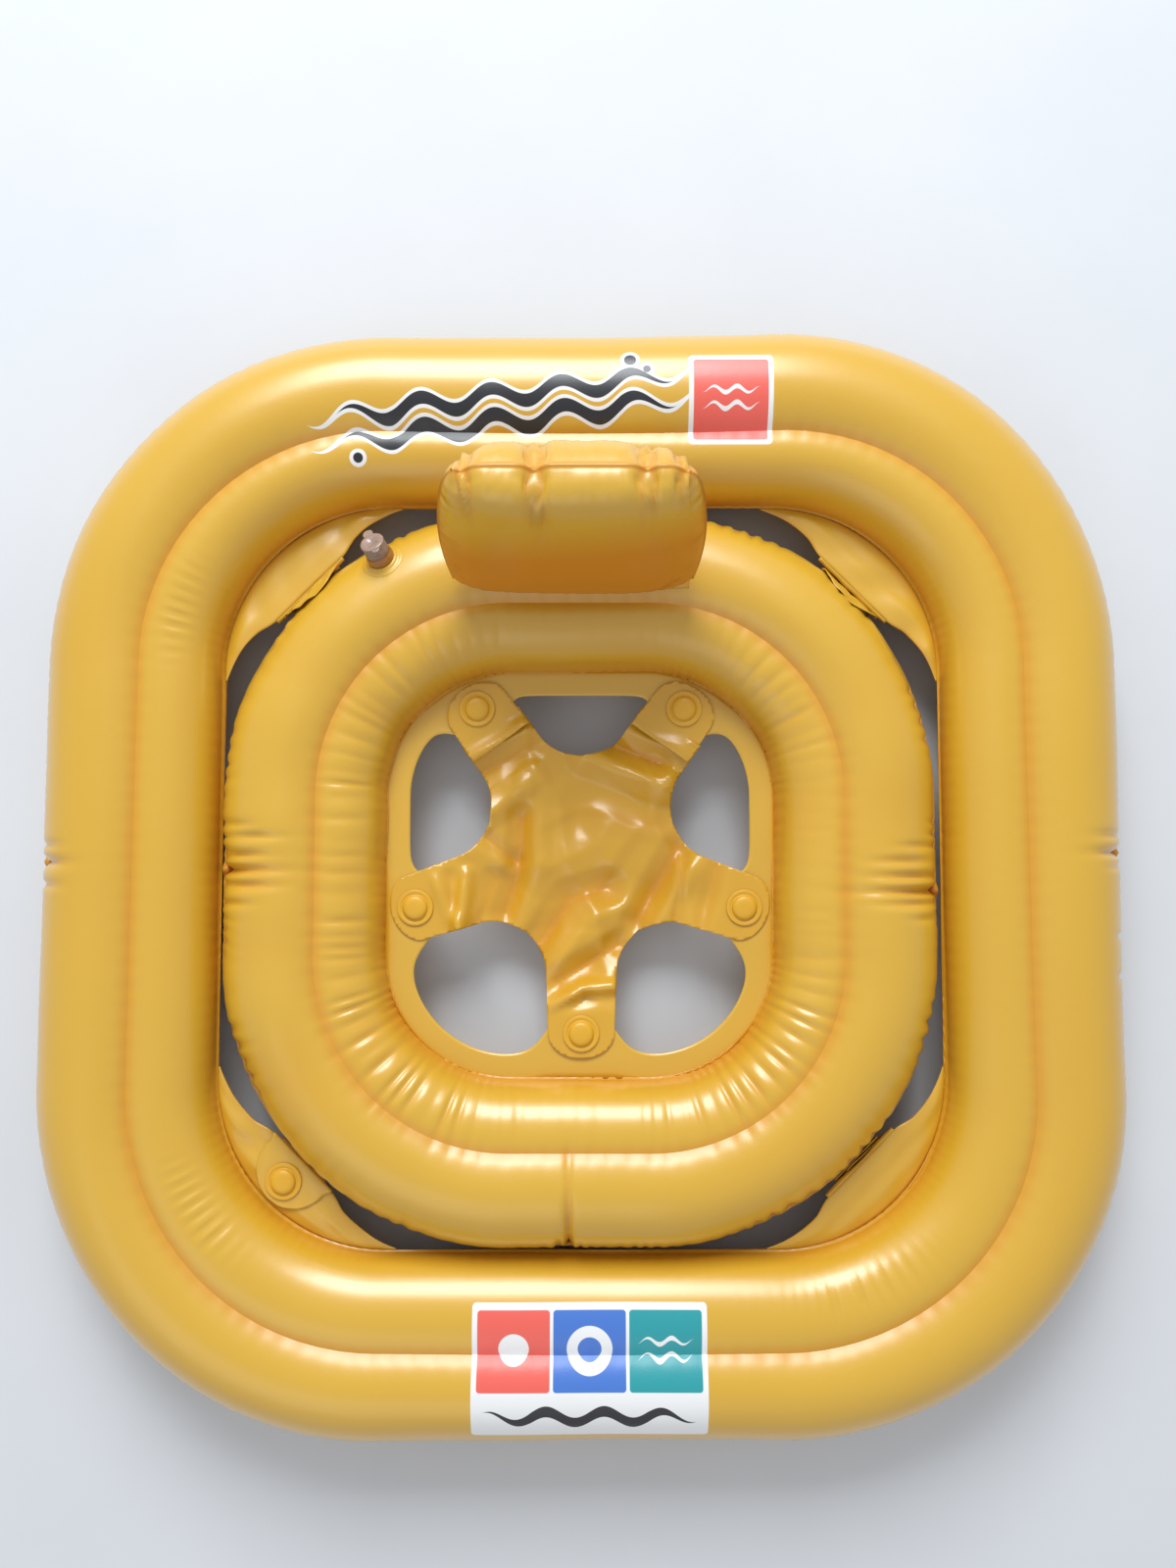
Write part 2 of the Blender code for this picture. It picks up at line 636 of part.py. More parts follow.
def arm_path(reach, folded):
    """(distance from the seat's centre, height over the rim's middle) along one arm, from root to end."""
    over_rim = FILM + 2 * CLEARANCE
    root = CROTCH_RADIUS * math.cos(math.radians(36))
    low = -SEAT_SAG * 0.8
    if not folded:
        path = []
        for share in (0.25, 0.5, 0.75, 1.0):
            path.append((root + (reach - ARM_LANDING - root) * share, low + (over_rim - low) * share**1.5))
    else:
        turn, fold, radius = reach - ARM_TURN_TO_SNAP, reach - ARM_FOLD_TO_SNAP, ARM_FOLD_RADIUS
        lowest = over_rim - 4 * radius - 0.0004
        path = [(root + 0.010, lowest - 0.001), (turn - 0.004, lowest)]
        path += [point[:2] for point in turn_stations(turn, lowest + radius, radius, -90, 90, 0)]
        middle = lowest + 2 * radius + 0.0004
        path += [point[:2] for point in turn_stations(fold, middle + radius, radius, 270, 90, 0)]
        path.append((reach - 0.011, over_rim))
    path.append((reach - 0.008, over_rim))
    path += [(reach + ARM_END_RADIUS * k, over_rim) for k in (0.0, 0.35, 0.62, 0.82, 0.94, 1.0)]
    return path


def make_sling(film, snap):
    """The five-armed seat. Its two rear arms are folded back and out again, to shorten them."""
    centre = Vector((*SEAT_CENTRE, MID))
    labels = sorted(SEAT_SNAPS, key=lambda label: direction_of(label)[0])
    turns = [direction_of(label)[0] for label in labels]
    points = [tuple(centre - Vector((0, 0, SEAT_SAG)))]
    crotches = []
    for turn, following in zip(turns, turns[1:] + [turns[0] + 2 * math.pi]):
        middle = (turn + following) / 2
        crotches.append(len(points))
        low = MID - SEAT_SAG * 0.8
        points.append(
            (centre.x + CROTCH_RADIUS * math.cos(middle), centre.y + CROTCH_RADIUS * math.sin(middle), low)
        )
    faces = []
    for index, label in enumerate(labels):
        turn, reach = direction_of(label)
        left, right = crotches[index - 1], crotches[index]
        faces.append([0, left, right])
        folded = label in FOLDED_ARMS
        root = CROTCH_RADIUS * math.cos(math.radians(36))
        for out, up in arm_path(reach, folded):
            half_width = arm_width(max(out, root), reach + ARM_END_RADIUS)
            if folded and out < reach - FOLDED_ARM_STRAIGHT:
                half_width = ARM_HALF_WIDTH + FOLDED_ARM_SPREAD
            along = Vector((math.cos(turn), math.sin(turn), 0))
            across = Vector((-math.sin(turn), math.cos(turn), 0))
            middle = centre + along * out + Vector((0, 0, up))
            points.append(tuple(middle - across * half_width))
            points.append(tuple(middle + across * half_width))
            near, far = len(points) - 2, len(points) - 1
            faces.append([left, near, far, right])
            left, right = near, far
    sling = give_thickness(new_object("seat_sling", points, faces, film, smooth=False), 0)
    places = []
    for x, y in SEAT_SNAPS.values():
        places.append(Matrix.Translation((x, y, MID + FILM + 2 * CLEARANCE)))
    combine(sling, cutter("seat_sling_holes", places, SOCKET_HOLE_RADIUS, FILM), "DIFFERENCE")
    for (label, _), place in zip(SEAT_SNAPS.items(), places):
        snap_cap(f"seat_{label}_cap", place, snap)


def direction_of(label):
    """(angle, distance) of a seat snap from the middle of the sling."""
    x, y = SEAT_SNAPS[label]
    return math.atan2(y - SEAT_CENTRE[1], x - SEAT_CENTRE[0]) % (2 * math.pi), math.hypot(
        x - SEAT_CENTRE[0], y - SEAT_CENTRE[1]
    )


def top_of_inner_ring(x, y):
    """Height of the inner ring's outer lobe over a point, from how far in that point lies."""
    x, y = abs(x - INNER.shift[0]), abs(y - INNER.shift[1])
    past_x = max(x - (INNER.half[0] - INNER_CORNER), 0.0)
    past_y = max(y - (INNER.half[1] - INNER_CORNER), 0.0)
    return INNER.lobe_height(INNER_CORNER - math.hypot(past_x, past_y))


def backrest_frame():
    """A frame on the backrest's base seam: X across, Y to its rear face, Z up along the leaning cushion."""
    corner_x = BACKREST_WIDTH / 2
    height = top_of_inner_ring(corner_x, BACKREST_Y) + FACET_RISE + FILM + WELD_LIP + 2 * CLEARANCE
    return Matrix.Translation((INNER.shift[0], BACKREST_Y, height)) @ Matrix.Rotation(
        math.radians(-BACKREST_LEAN), 4, "X"
    )


def backrest_depth(across, up, depth, lifts):
    """How far a cushion face stands off the seam's plane, at -1 to 1 across and up."""
    crown = math.sqrt(max(1 - across**4, 0.0)) * math.sqrt(max(1 - up**4, 0.0))
    share, height = BACKREST_BASE_DRAW
    drawn = 1 - share * math.exp(-(((up + 1) / height) ** 2)) if lifts else 1.0
    return depth * crown * drawn


def sine_spread(index, count):
    """(-1 to 1, lip width) for one line of a cushion's grid, closer at the edges and with a weld lip."""
    inside = min(max(index, 0), count)
    return math.sin(math.pi / 2 * (2 * inside / count - 1)), WELD_LIP * (index - inside)


def make_backrest(film):
    frame = backrest_frame()
    columns, rows = BACKREST_STEPS
    for name, side, depth in (("front", -1, BACKREST_FRONT_DEPTH), ("rear", 1, BACKREST_REAR_DEPTH)):
        points = []
        for row in range(-1, rows + 2):
            up, past_up = sine_spread(row, rows)
            for column in range(-1, columns + 2):
                across, past_across = sine_spread(column, columns)
                x = BACKREST_WIDTH / 2 * across * (1 + BACKREST_TOP_FLARE * up)
                x *= 1 - BACKREST_CORNER_ROUND * up**8
                z = BACKREST_HEIGHT / 2 * (1 + up * (1 - BACKREST_CORNER_ROUND * across**8))
                y = backrest_depth(across, up, depth, side > 0) + FILM + CLEARANCE / 2
                points.append((x + past_across, side * y, z + past_up))
        faces = grid_faces(rows + 3, columns + 3, flip=side < 0)
        give_thickness(new_object(f"backrest_{name}_sheet", points, faces, film, frame), -1)
    make_hem(film)
    return frame


def make_hem(film):
    """The strip that is welded on the ring and holds the backrest's base seam."""
    points = []
    for row in range(4):
        y = BACKREST_Y + HEM_DEPTH * (row / 3 - HEM_FORWARD)
        for column in range(7):
            x = INNER.shift[0] + BACKREST_WIDTH * HEM_WIDTH_SHARE * (column / 6 - 0.5)
            points.append((x, y, top_of_inner_ring(x, y) + CLEARANCE + FACET_RISE))
    faces = grid_faces(4, 7, flip=True)
    give_thickness(new_object("backrest_base_hem", points, faces, film), 1)


def ring_valve_frame(ring, turn, inset, side):
    """A frame on a ring's outer lobe at a corner: origin on the film, Z out of it, X along its slope."""
    angle = math.radians(turn)
    sign_x = 1 if math.cos(angle) > 0 else -1
    sign_y = 1 if math.sin(angle) > 0 else -1
    lobe = ring.lobes[0]
    lean = (WELD_LIP + lobe - inset) / lobe
    rise = math.sqrt(1 - lean * lean)
    reach = ring.corner - inset
    outwards = Vector((math.cos(angle), math.sin(angle), 0))
    middle = Vector(
        (
            ring.shift[0] + sign_x * (ring.half[0] - ring.corner),
            ring.shift[1] + sign_y * (ring.half[1] - ring.corner),
            MID,
        )
    )
    origin = middle + outwards * reach + Vector((0, 0, side * lobe * rise))
    z_axis = (outwards * lean + Vector((0, 0, side * rise))).normalized()
    y_axis = z_axis.cross(outwards).normalized()
    x_axis = y_axis.cross(z_axis)
    matrix = Matrix((x_axis, y_axis, z_axis)).transposed().to_4x4()
    matrix.translation = origin
    return matrix


def make_valve(label, frame, skin, bend_radius, pushed, film, clear):
    """A flange, a stem that pushes in and pops out, a flap that shuts its bore, and a plug on a hinge."""
    hole = cutter(f"{label}_valve_hole", [frame], VALVE_HOLE_RADIUS, VALVE_HOLE_REACH, ROUND_STEPS)
    combine(skin, hole, "DIFFERENCE")
    low, high = CLEARANCE, CLEARANCE + FILM
    inner, wide, narrow = VALVE_HOLE_RADIUS, *VALVE_SLEEVE_RADII
    profile = [(inner, low), (VALVE_FLANGE_RADIUS, low), (VALVE_FLANGE_RADIUS, high), (wide, high)]
    profile += [(narrow, VALVE_SLEEVE_HEIGHT), (inner, VALVE_SLEEVE_HEIGHT)]
    flange = lathe(f"{label}_valve_flange", profile, ROUND_STEPS, film, frame)
    if bend_radius:
        for vertex in flange.data.vertices:
            vertex.co.z -= vertex.co.x**2 / (2 * bend_radius)
    place = frame @ Matrix.Translation((0, 0, -VALVE_TRAVEL if pushed else 0))
    stem = [
        (VALVE_BORE, VALVE_BOTTOM),
        (VALVE_COLLAR_RADIUS, VALVE_BOTTOM),
        (VALVE_COLLAR_RADIUS, VALVE_COLLAR_TOP),
        (VALVE_STEM_RADIUS, VALVE_COLLAR_TOP),
        (VALVE_TIP_RADIUS, VALVE_TOP),
        (VALVE_BORE, VALVE_TOP),
    ]
    stem_obj = lathe(f"{label}_valve_stem", stem, ROUND_STEPS, clear, place)
    flap_top = VALVE_BOTTOM - CLEARANCE
    flap_base = flap_top - FLAP_THICK
    flap = [(0.0, flap_base), (FLAP_RADIUS, flap_base), (FLAP_RADIUS, flap_top), (0.0, flap_top)]
    flap_obj = lathe(f"{label}_valve_flap", flap, SMALL_ROUND_STEPS, clear, place)
    seat = VALVE_TOP + CLEARANCE
    shift = Matrix.Translation((-PLUG_HINGE, 0, seat))
    plug = [
        (0.0, -PEG_LENGTH),
        (PEG_RADII[1], -PEG_LENGTH),
        (PEG_RADII[0], 0.0),
        (PLUG_RADIUS, 0.0),
        (PLUG_RADIUS, PLUG_THICK),
        (0.0, PLUG_THICK),
    ]
    plug_obj = lathe(f"{label}_valve_plug", plug, ROUND_STEPS, clear, place @ shift)
    for vertex in plug_obj.data.vertices:
        vertex.co.x += PLUG_HINGE
    middle_up = PLUG_THICK / 2
    ears = [
        place @ shift @ Matrix.Translation((PLUG_HINGE * 2, 0, middle_up)),
        place @ shift @ Matrix.Translation((PLUG_HINGE - PLUG_RADIUS, 0, middle_up)),
    ]
    tabs = cutter(f"{label}_valve_plug_tabs", ears, PULL_TAB_RADIUS, PLUG_THICK * 0.4, 10)
    combine(plug_obj, tabs, "UNION")
    hang(f"{label}_valve_slide", place, [stem_obj, flap_obj, plug_obj])


def hang(name, matrix, objects):
    """An empty on a joint's axis, which carries the pieces that move with it."""
    empty = bpy.data.objects.new(name, None)
    empty.empty_display_size = 0.02
    empty.matrix_world = matrix
    bpy.context.scene.collection.objects.link(empty)
    for obj in objects:
        obj.parent = empty
        obj.matrix_parent_inverse = matrix.inverted()
    return empty


def named(*starts):
    return [obj for obj in bpy.data.objects if obj.type == "MESH" and obj.name.startswith(starts)]


def build():
    clear_scene()
    film = make_material("yellow_film", FILM_YELLOW, 0.32)
    snap = make_material("snap_plastic", SNAP_YELLOW, 0.38)
    clear = make_material("clear_valve", VALVE_CLEAR, 0.2, transmission=0.5)

    skins = {}
    for label, ring in (("outer_ring", OUTER), ("inner_ring", INNER)):
        skins[label, "top"] = ring_skin(f"{label}_top_skin", ring, 1, film)
        skins[label, "bottom"] = ring_skin(f"{label}_bottom_skin", ring, -1, film)
        ring_partition(f"{label}_partition", ring, film)

    make_corner("rear_right", 1, 1, "climbs", film, snap)
    make_corner("rear_left", -1, 1, "climbs", film, snap)
    make_corner("front_left", -1, -1, "over", film, snap)
    make_corner("front_right", 1, -1, "tucked", film, snap)
    make_seat_rim(film, snap)
    make_sling(film, snap)

    frame = make_backrest(film)
    rear_sheet = bpy.data.objects["backrest_rear_sheet"]
    rear_face = BACKREST_REAR_DEPTH + FILM + CLEARANCE / 2
    rear_valve = frame @ Matrix.Translation((0, rear_face, BACKREST_HEIGHT / 2)) @ Matrix.Rotation(
        math.radians(-90), 4, "X"
    )
    inner_valve = ring_valve_frame(INNER, INNER_VALVE_TURN, INNER_VALVE_INSET, 1)
    outer_valve = ring_valve_frame(OUTER, OUTER_VALVE_TURN, OUTER_VALVE_INSET, -1)
    make_valve("inner", inner_valve, skins["inner_ring", "top"], INNER_LOBES[0], False, film, clear)
    make_valve("outer", outer_valve, skins["outer_ring", "bottom"], OUTER_LOBES[0], True, film, clear)
    make_valve("backrest", rear_valve, rear_sheet, 0.0, True, film, clear)

    outer_nodes = named("outer_ring", "outer_valve_flange")
    outer_nodes += [obj for obj in named("rear_", "front_") if "_web" in obj.name or obj.name.endswith("cap")]
    hang("outer_ring_lift", Matrix.Translation((0, 0, MID)), outer_nodes)
    sling_nodes = named("seat_sling") + [obj for obj in named("seat_") if obj.name.endswith("_cap")]
    hang("seat_sling_lift", Matrix.Translation((*SEAT_CENTRE, MID)), sling_nodes)
    hang("backrest_tilt", frame, named("backrest_front", "backrest_rear", "backrest_valve_flange"))
    for label, place in (("inner", inner_valve), ("outer", outer_valve), ("backrest", rear_valve)):
        axis = [round(v, 4) for v in place.col[2][:3]]
        print(label, "valve at", [round(v, 4) for v in place.translation], "along", axis)
    print("backrest hinge at", [round(v, 4) for v in frame.translation])


build()
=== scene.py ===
# %% [markdown]
# # A baby swim float, dressed
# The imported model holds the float's real pieces: films, webs, tabs, snaps, valves. They are plain and
# faceted there. This script puts the finish on them: blown-up vinyl with its puckers and seams, folded
# film, moulded snaps and printed panels. Each new piece stands where the plain one stood, and rides on the
# same body.

# %% The frame
import math

import bmesh
import bpy
import numpy as np
from mathutils import Matrix, Vector


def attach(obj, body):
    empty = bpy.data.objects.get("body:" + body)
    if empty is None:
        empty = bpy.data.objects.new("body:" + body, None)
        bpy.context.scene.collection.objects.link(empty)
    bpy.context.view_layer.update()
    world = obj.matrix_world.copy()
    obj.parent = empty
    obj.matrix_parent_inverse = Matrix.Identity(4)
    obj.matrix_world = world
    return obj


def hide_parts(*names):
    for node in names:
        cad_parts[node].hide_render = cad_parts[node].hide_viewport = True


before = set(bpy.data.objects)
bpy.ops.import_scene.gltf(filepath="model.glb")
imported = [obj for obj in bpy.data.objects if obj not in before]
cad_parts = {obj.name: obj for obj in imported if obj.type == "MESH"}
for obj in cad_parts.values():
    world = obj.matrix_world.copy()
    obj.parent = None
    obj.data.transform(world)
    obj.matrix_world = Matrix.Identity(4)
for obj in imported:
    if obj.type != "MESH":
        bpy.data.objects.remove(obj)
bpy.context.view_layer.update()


def show(name, data):
    """A new object in the scene for a mesh, a lamp or a camera."""
    obj = bpy.data.objects.new(name, data)
    bpy.context.scene.collection.objects.link(obj)
    return obj


# %% [markdown]
# The photograph was taken by hand from above, almost straight down. The camera stands 83 cm over the floor
# and leans a few degrees, so that upright things lean up the picture. A long side of 1600 pixels and a
# focal length of 1200 pixels give the lens below.

# %% The camera
CAMERA_HEIGHT = 0.83
CAMERA_LEAN = 3.4
CAMERA_FOOT = (0.0045, 0.0122)
FOCAL_PIXELS = 1200
PICTURE_HEIGHT = 1600
SENSOR = 36.0

lens = bpy.data.cameras.new("camera")
lens.sensor_fit = "VERTICAL"
lens.sensor_height = SENSOR
lens.sensor_width = SENSOR
lens.lens = SENSOR * FOCAL_PIXELS / PICTURE_HEIGHT
camera = show("camera", lens)
camera.location = (*CAMERA_FOOT, CAMERA_HEIGHT)
camera.rotation_euler = (math.radians(CAMERA_LEAN), 0, 0)
bpy.context.scene.camera = camera
bpy.context.scene.view_settings.view_transform = "Standard"
print("lens", round(lens.lens, 1), "mm")

# %% [markdown]
# Shader maths reads best as an expression, so one small class wraps a socket and overloads the operators.
# Numbers go through Math nodes. Colours go through Mix nodes, because a Math node would turn them grey.

# %% Shader maths as expressions
# A Mix node has a socket of each name for every kind of data, so its colour sockets are found by number.
MIX_SHARE, MIX_FIRST, MIX_SECOND, MIX_RESULT = 0, 6, 7, 2


class Wire:
    """A socket's output, or a value of a node tree, on which plain arithmetic builds nodes."""

    def __init__(self, tree, socket):
        self.tree, self.socket = tree, socket

    def math(self, operation, *others, clamp=False):
        return Board(self.tree).node("ShaderNodeMath", 0, self, *others, operation=operation, use_clamp=clamp)

    def __add__(self, other):
        return self.math("ADD", other)

    def __sub__(self, other):
        return self.math("SUBTRACT", other)

    def __mul__(self, other):
        return self.math("MULTIPLY", other)

    def __truediv__(self, other):
        return self.math("DIVIDE", other)

    def __rsub__(self, other):
        return Board(self.tree).node("ShaderNodeMath", 0, other, self, operation="SUBTRACT")

    __radd__ = __add__
    __rmul__ = __mul__

    def abs(self):
        return self.math("ABSOLUTE")

    def sine(self):
        return self.math("SINE")

    def power(self, exponent):
        return self.math("POWER", exponent)

    def at_least(self, other):
        return self.math("MAXIMUM", other)

    def at_most(self, other):
        return self.math("MINIMUM", other)

    def held(self):
        return self.math("ADD", 0.0, clamp=True)


class Board:
    """A material's node tree, with one method that adds any node."""

    def __init__(self, tree):
        self.tree = tree

    def node(self, kind, output, *inputs, links=None, **settings):
        added = self.tree.nodes.new(kind)
        for name, value in settings.items():
            setattr(added, name, value)
        given = dict(enumerate(inputs))
        given.update(links or {})
        for key, value in given.items():
            socket = added.inputs[key]
            if isinstance(value, Wire):
                self.tree.links.new(value.socket, socket)
            elif value is not None:
                socket.default_value = value
        return Wire(self.tree, added.outputs[output])

    def noise(self, scale, detail=2.0, roughness=0.5):
        given = {"Vector": self.place(), "Scale": scale, "Detail": detail, "Roughness": roughness}
        return self.node("ShaderNodeTexNoise", "Fac", links=given)

    def place(self):
        return self.node("ShaderNodeTexCoord", "Object")

    def axes(self):
        split = self.tree.nodes.new("ShaderNodeSeparateXYZ")
        self.tree.links.new(self.place().socket, split.inputs[0])
        return [Wire(self.tree, socket) for socket in split.outputs]

    def mix(self, share, first, second):
        given = {MIX_SHARE: share, MIX_FIRST: first, MIX_SECOND: second}
        return self.node("ShaderNodeMix", MIX_RESULT, links=given, data_type="RGBA")

    def painted(self, name):
        return self.node("ShaderNodeAttribute", "Fac", attribute_name=name)


def new_material(name, **sockets):
    """A Principled material whose fixed values are set on the shader's own sockets."""
    material = bpy.data.materials.new(name)
    material.use_nodes = True
    shader = material.node_tree.nodes["Principled BSDF"]
    for key, value in sockets.items():
        shader.inputs[key.replace("_", " ")].default_value = value
    return material, Board(material.node_tree), shader


def connect(board, shader, **wires):
    for key, wire in wires.items():
        board.tree.links.new(wire.socket, shader.inputs[key.replace("_", " ")])


def relief(board, height, distance):
    given = {"Strength": 1.0, "Distance": distance, "Height": height}
    return board.node("ShaderNodeBump", "Normal", links=given)


print("shader helpers ready")

# %% [markdown]
# Two rings make the float. Each is a pair of films, welded at the outer and inner edges, and an upright
# band inside pulls the tube in along one crease, so that it blows up as two lobes. The real sizes are those
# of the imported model, in metres. Everything that follows measures its place on a ring in the same two
# numbers: how far along the crease, and how far in from the outer edge. The second is called the inset.

# %% The two rings in numbers
WELD_LIP = 0.0012
FILM = 0.001
CLEARANCE = 0.0003
CORNER_STEPS = 24


class Ring:
    """A ring's sizes, and what follows from them."""

    def __init__(self, size, corner, lobes, partition, shift, crease_shift, pucker, pull):
        self.half = np.array(size) / 2
        self.corner, self.lobes, self.shift = corner, lobes, np.array(shift)
        self.band = partition / 2
        self.reach = [math.sqrt(radius**2 - self.band**2) for radius in lobes]
        self.crease = WELD_LIP + lobes[0] + self.reach[0]
        self.tube = self.crease + self.reach[1] + lobes[1] + WELD_LIP
        self.crease_shift = crease_shift
        self.pucker, self.pull = pucker, pull
        self.marks, self.run = self.walk()
        self.length = self.run[-1]

    def walk(self):
        """Marks round the ring, each a core point and a turn, and the run along the crease up to each."""
        core = self.half - self.corner
        marks = []
        for quarter, signs in enumerate(((1, 1), (-1, 1), (-1, -1), (1, -1))):
            for step in range(CORNER_STEPS + 1):
                marks.append((*(core * signs), math.radians(90 * (quarter + step / CORNER_STEPS))))
        marks.append((*core, 2 * math.pi))
        marks = np.array(marks)
        steps = np.diff(marks, axis=0)
        lengths = np.hypot(steps[:, 0], steps[:, 1]) + abs(steps[:, 2]) * (self.corner - self.crease)
        return marks, np.concatenate([[0], np.cumsum(lengths)])

    def stations(self, count):
        """(core points, turns in radians, run along the crease) at even steps, counter-clockwise.

        A station's points all lie on a line from its core point, in the direction of its turn.
        """
        even = np.linspace(0, self.length, count, endpoint=False)
        found = [np.interp(even, self.run, self.marks[:, column]) for column in range(3)]
        return np.stack(found[:2], axis=1) + self.shift, found[2], even


OUTER = Ring(
    size=(0.714, 0.728), corner=0.228, lobes=(0.042, 0.035), partition=0.066, shift=(0, 0),
    crease_shift={90: 0.008, 270: -0.006}, pucker=0.0090, pull=0.0006,
)
INNER = Ring(
    size=(0.475, 0.487), corner=0.192, lobes=(0.042, 0.0345), partition=0.068, shift=(-0.001, -0.001),
    crease_shift={}, pucker=0.0078, pull=0.0014,
)
print("crease lengths", round(OUTER.length, 3), round(INNER.length, 3))

# %% [markdown]
# A film under air isn't a clean arc. Its seams are shorter than the skin next to them, so the skin gathers
# there in small puckers, and at the ring's corners the inner lobe gathers in long radial ones. Each of
# these is a height over the smooth film, as a function of the two ring numbers. Sums of plain functions are
# quicker to steer than a cloth simulation, and they put each fold where the photograph has it.


# %% Functions that wrinkle a film
def near(value, centre, width):
    """1 at the centre, fading to 0 over the width on either side."""
    return np.exp(-(((value - centre) / width) ** 2))


def around(angle, centre):
    """Degrees from a centre, from -180 to 180."""
    return (angle - centre + 180) % 360 - 180


def smooth_noise(values, period, seed, turns=9):
    """A seeded smooth wave of height 1 that repeats after the period."""
    generator = np.random.default_rng(seed)
    total = np.zeros_like(values)
    for harmonic in range(1, turns + 1):
        strength, phase = generator.normal(), generator.uniform(0, 2 * math.pi)
        total += strength * np.sin(2 * math.pi * harmonic * values / period + phase)
    return total / math.sqrt(turns)


def gathers(run, spacing, period, seed):
    """Puckers along a seam: round between narrow valleys, of uneven width. 0 in a valley and 1 on a crest."""
    count = max(round(period / spacing), 1)
    phase = run / period * count * math.pi + 0.55 * smooth_noise(run, period, seed, 30)
    return np.abs(np.sin(phase)) ** 0.7


def puckers(ring, run, seed, away, spacing, depth, width, start=0.0):
    """A row of gathers this deep along a weld or a crease, fading over the width on either side of it."""
    return depth * (gathers(run, spacing, ring.length, seed) - 1) * near(away, start, width)


def slow_waves(ring, run, seed, to_crease, long, short, turns):
    """Slow unevenness along the ring, which dies out at the crease."""
    waves = long * smooth_noise(run, ring.length, seed)
    waves = waves + short * smooth_noise(run, ring.length, seed + 1, turns)
    return waves * np.clip(to_crease / 0.02, 0, 1)


def dents(angle, run, inset, folds):
    """Single folds across the film, each (degrees, inset, length across, width along the crease, depth)."""
    lift = 0
    for degrees, place, length, width, depth in folds:
        along = run.ravel()[np.argmin(abs(around(angle.ravel(), degrees)))]
        lift = lift - depth * near(run, along, width) * near(inset, place, length)
    return lift


def shade(distances, shades):
    """Painted shade of the film near its crease and welds, from its distances and a (share, width) for each
    of them.
    """
    return sum(share * near(away, 0, width) for away, (share, width) in zip(distances, shades))


print("gathers at a seam:", gathers(np.linspace(0, 0.02, 5), 0.008, 1.0, 3).round(2))

# %% [markdown]
# One film is a grid: stations along the ring, and steps across its two lobes. NumPy works it out as whole
# arrays. The smooth surface comes first, then the wrinkles move each point along the surface's own normal,
# so that a fold on the side of a lobe stands out sideways. Each point also keeps a painted shade for the
# film's colour, deepest in the crease, at the welds and in the dents.

# %% Building one film of a ring
OUTER_STEPS, INNER_STEPS = ((30, 22))
STATIONS = {"outer": 720, "inner": 600}
SEAM_GAP, LIP_SHARE, ABOVE_FLOOR = 0.0005, 0.3, 0.0002
MIDDLE = 0.0415
RING_FILM_SHOWN = 0.0004
CREASE_SHIFT_REACH = 48
SCALLOP_SEED, UNEVEN_SEED, UNEVEN_TURNS, SCALLOP_FADE = 7, 8, 24, 0.003


def lobes_of(ring, angle):
    """(inset, height, crease) of the smooth film above the welds: a row a station, a column a step."""
    crease = np.full_like(angle, ring.crease)
    for middle, shift in ring.crease_shift.items():
        crease += shift * near(around(angle, middle), 0, CREASE_SHIFT_REACH)
    outer_end = math.pi - math.asin(ring.band / ring.lobes[0])
    inner_start = math.asin(ring.band / ring.lobes[1])
    turn = outer_end * np.linspace(0, 1, OUTER_STEPS + 1)
    share = (1 - np.cos(turn)) / (1 - math.cos(outer_end))
    outer_inset = WELD_LIP + np.outer(crease - WELD_LIP, share)
    outer_height = np.tile(ring.lobes[0] * np.sin(turn), (len(angle), 1))
    turn = inner_start + (math.pi - inner_start) * np.linspace(0, 1, INNER_STEPS + 1)[1:]
    share = (math.cos(inner_start) - np.cos(turn)) / (math.cos(inner_start) + 1)
    inner_inset = crease[:, None] + np.outer(ring.tube - WELD_LIP - crease, share)
    inner_height = np.tile(ring.lobes[1] * np.sin(turn), (len(angle), 1))
    lip = np.ones((len(angle), 1))
    inset = np.hstack([-LIP_SHARE * WELD_LIP * lip, outer_inset, inner_inset, ring.tube * lip])
    height = np.hstack([0 * lip, outer_height, inner_height, 0 * lip]) + SEAM_GAP
    return inset, height, crease


def spread(ring, core, turn, inset):
    """World x and y of every grid point."""
    reach = ring.corner - inset
    direction = np.stack([np.cos(turn), np.sin(turn)], axis=1)
    return core[:, None, :] + direction[:, None, :] * reach[:, :, None]


def seam_strength(ring, run, base, least):
    """How strongly the outer seam gathers from place to place, the same for the upper and the lower film."""
    return np.clip(smooth_noise(run, ring.length, UNEVEN_SEED, UNEVEN_TURNS) + base, least, 1.6)


def scallops(ring, run, inset):
    """How far gathers pull both welds into the film."""
    valleys = 1 - gathers(run, ring.pucker, ring.length, SCALLOP_SEED)
    pull = ring.pull * seam_strength(ring, run, 0.15, 0) * valleys
    return pull[:, None] * (np.exp(-inset / SCALLOP_FADE) - 0.5 * np.exp(-(ring.tube - inset) / SCALLOP_FADE))


def normals_of(points):
    """Unit normals of a grid whose rows close into a ring."""
    along = np.roll(points, -1, axis=0) - np.roll(points, 1, axis=0)
    across = np.gradient(points, axis=1)
    normal = np.cross(along, across)
    return normal / np.maximum(np.linalg.norm(normal, axis=2, keepdims=True), 1e-12)


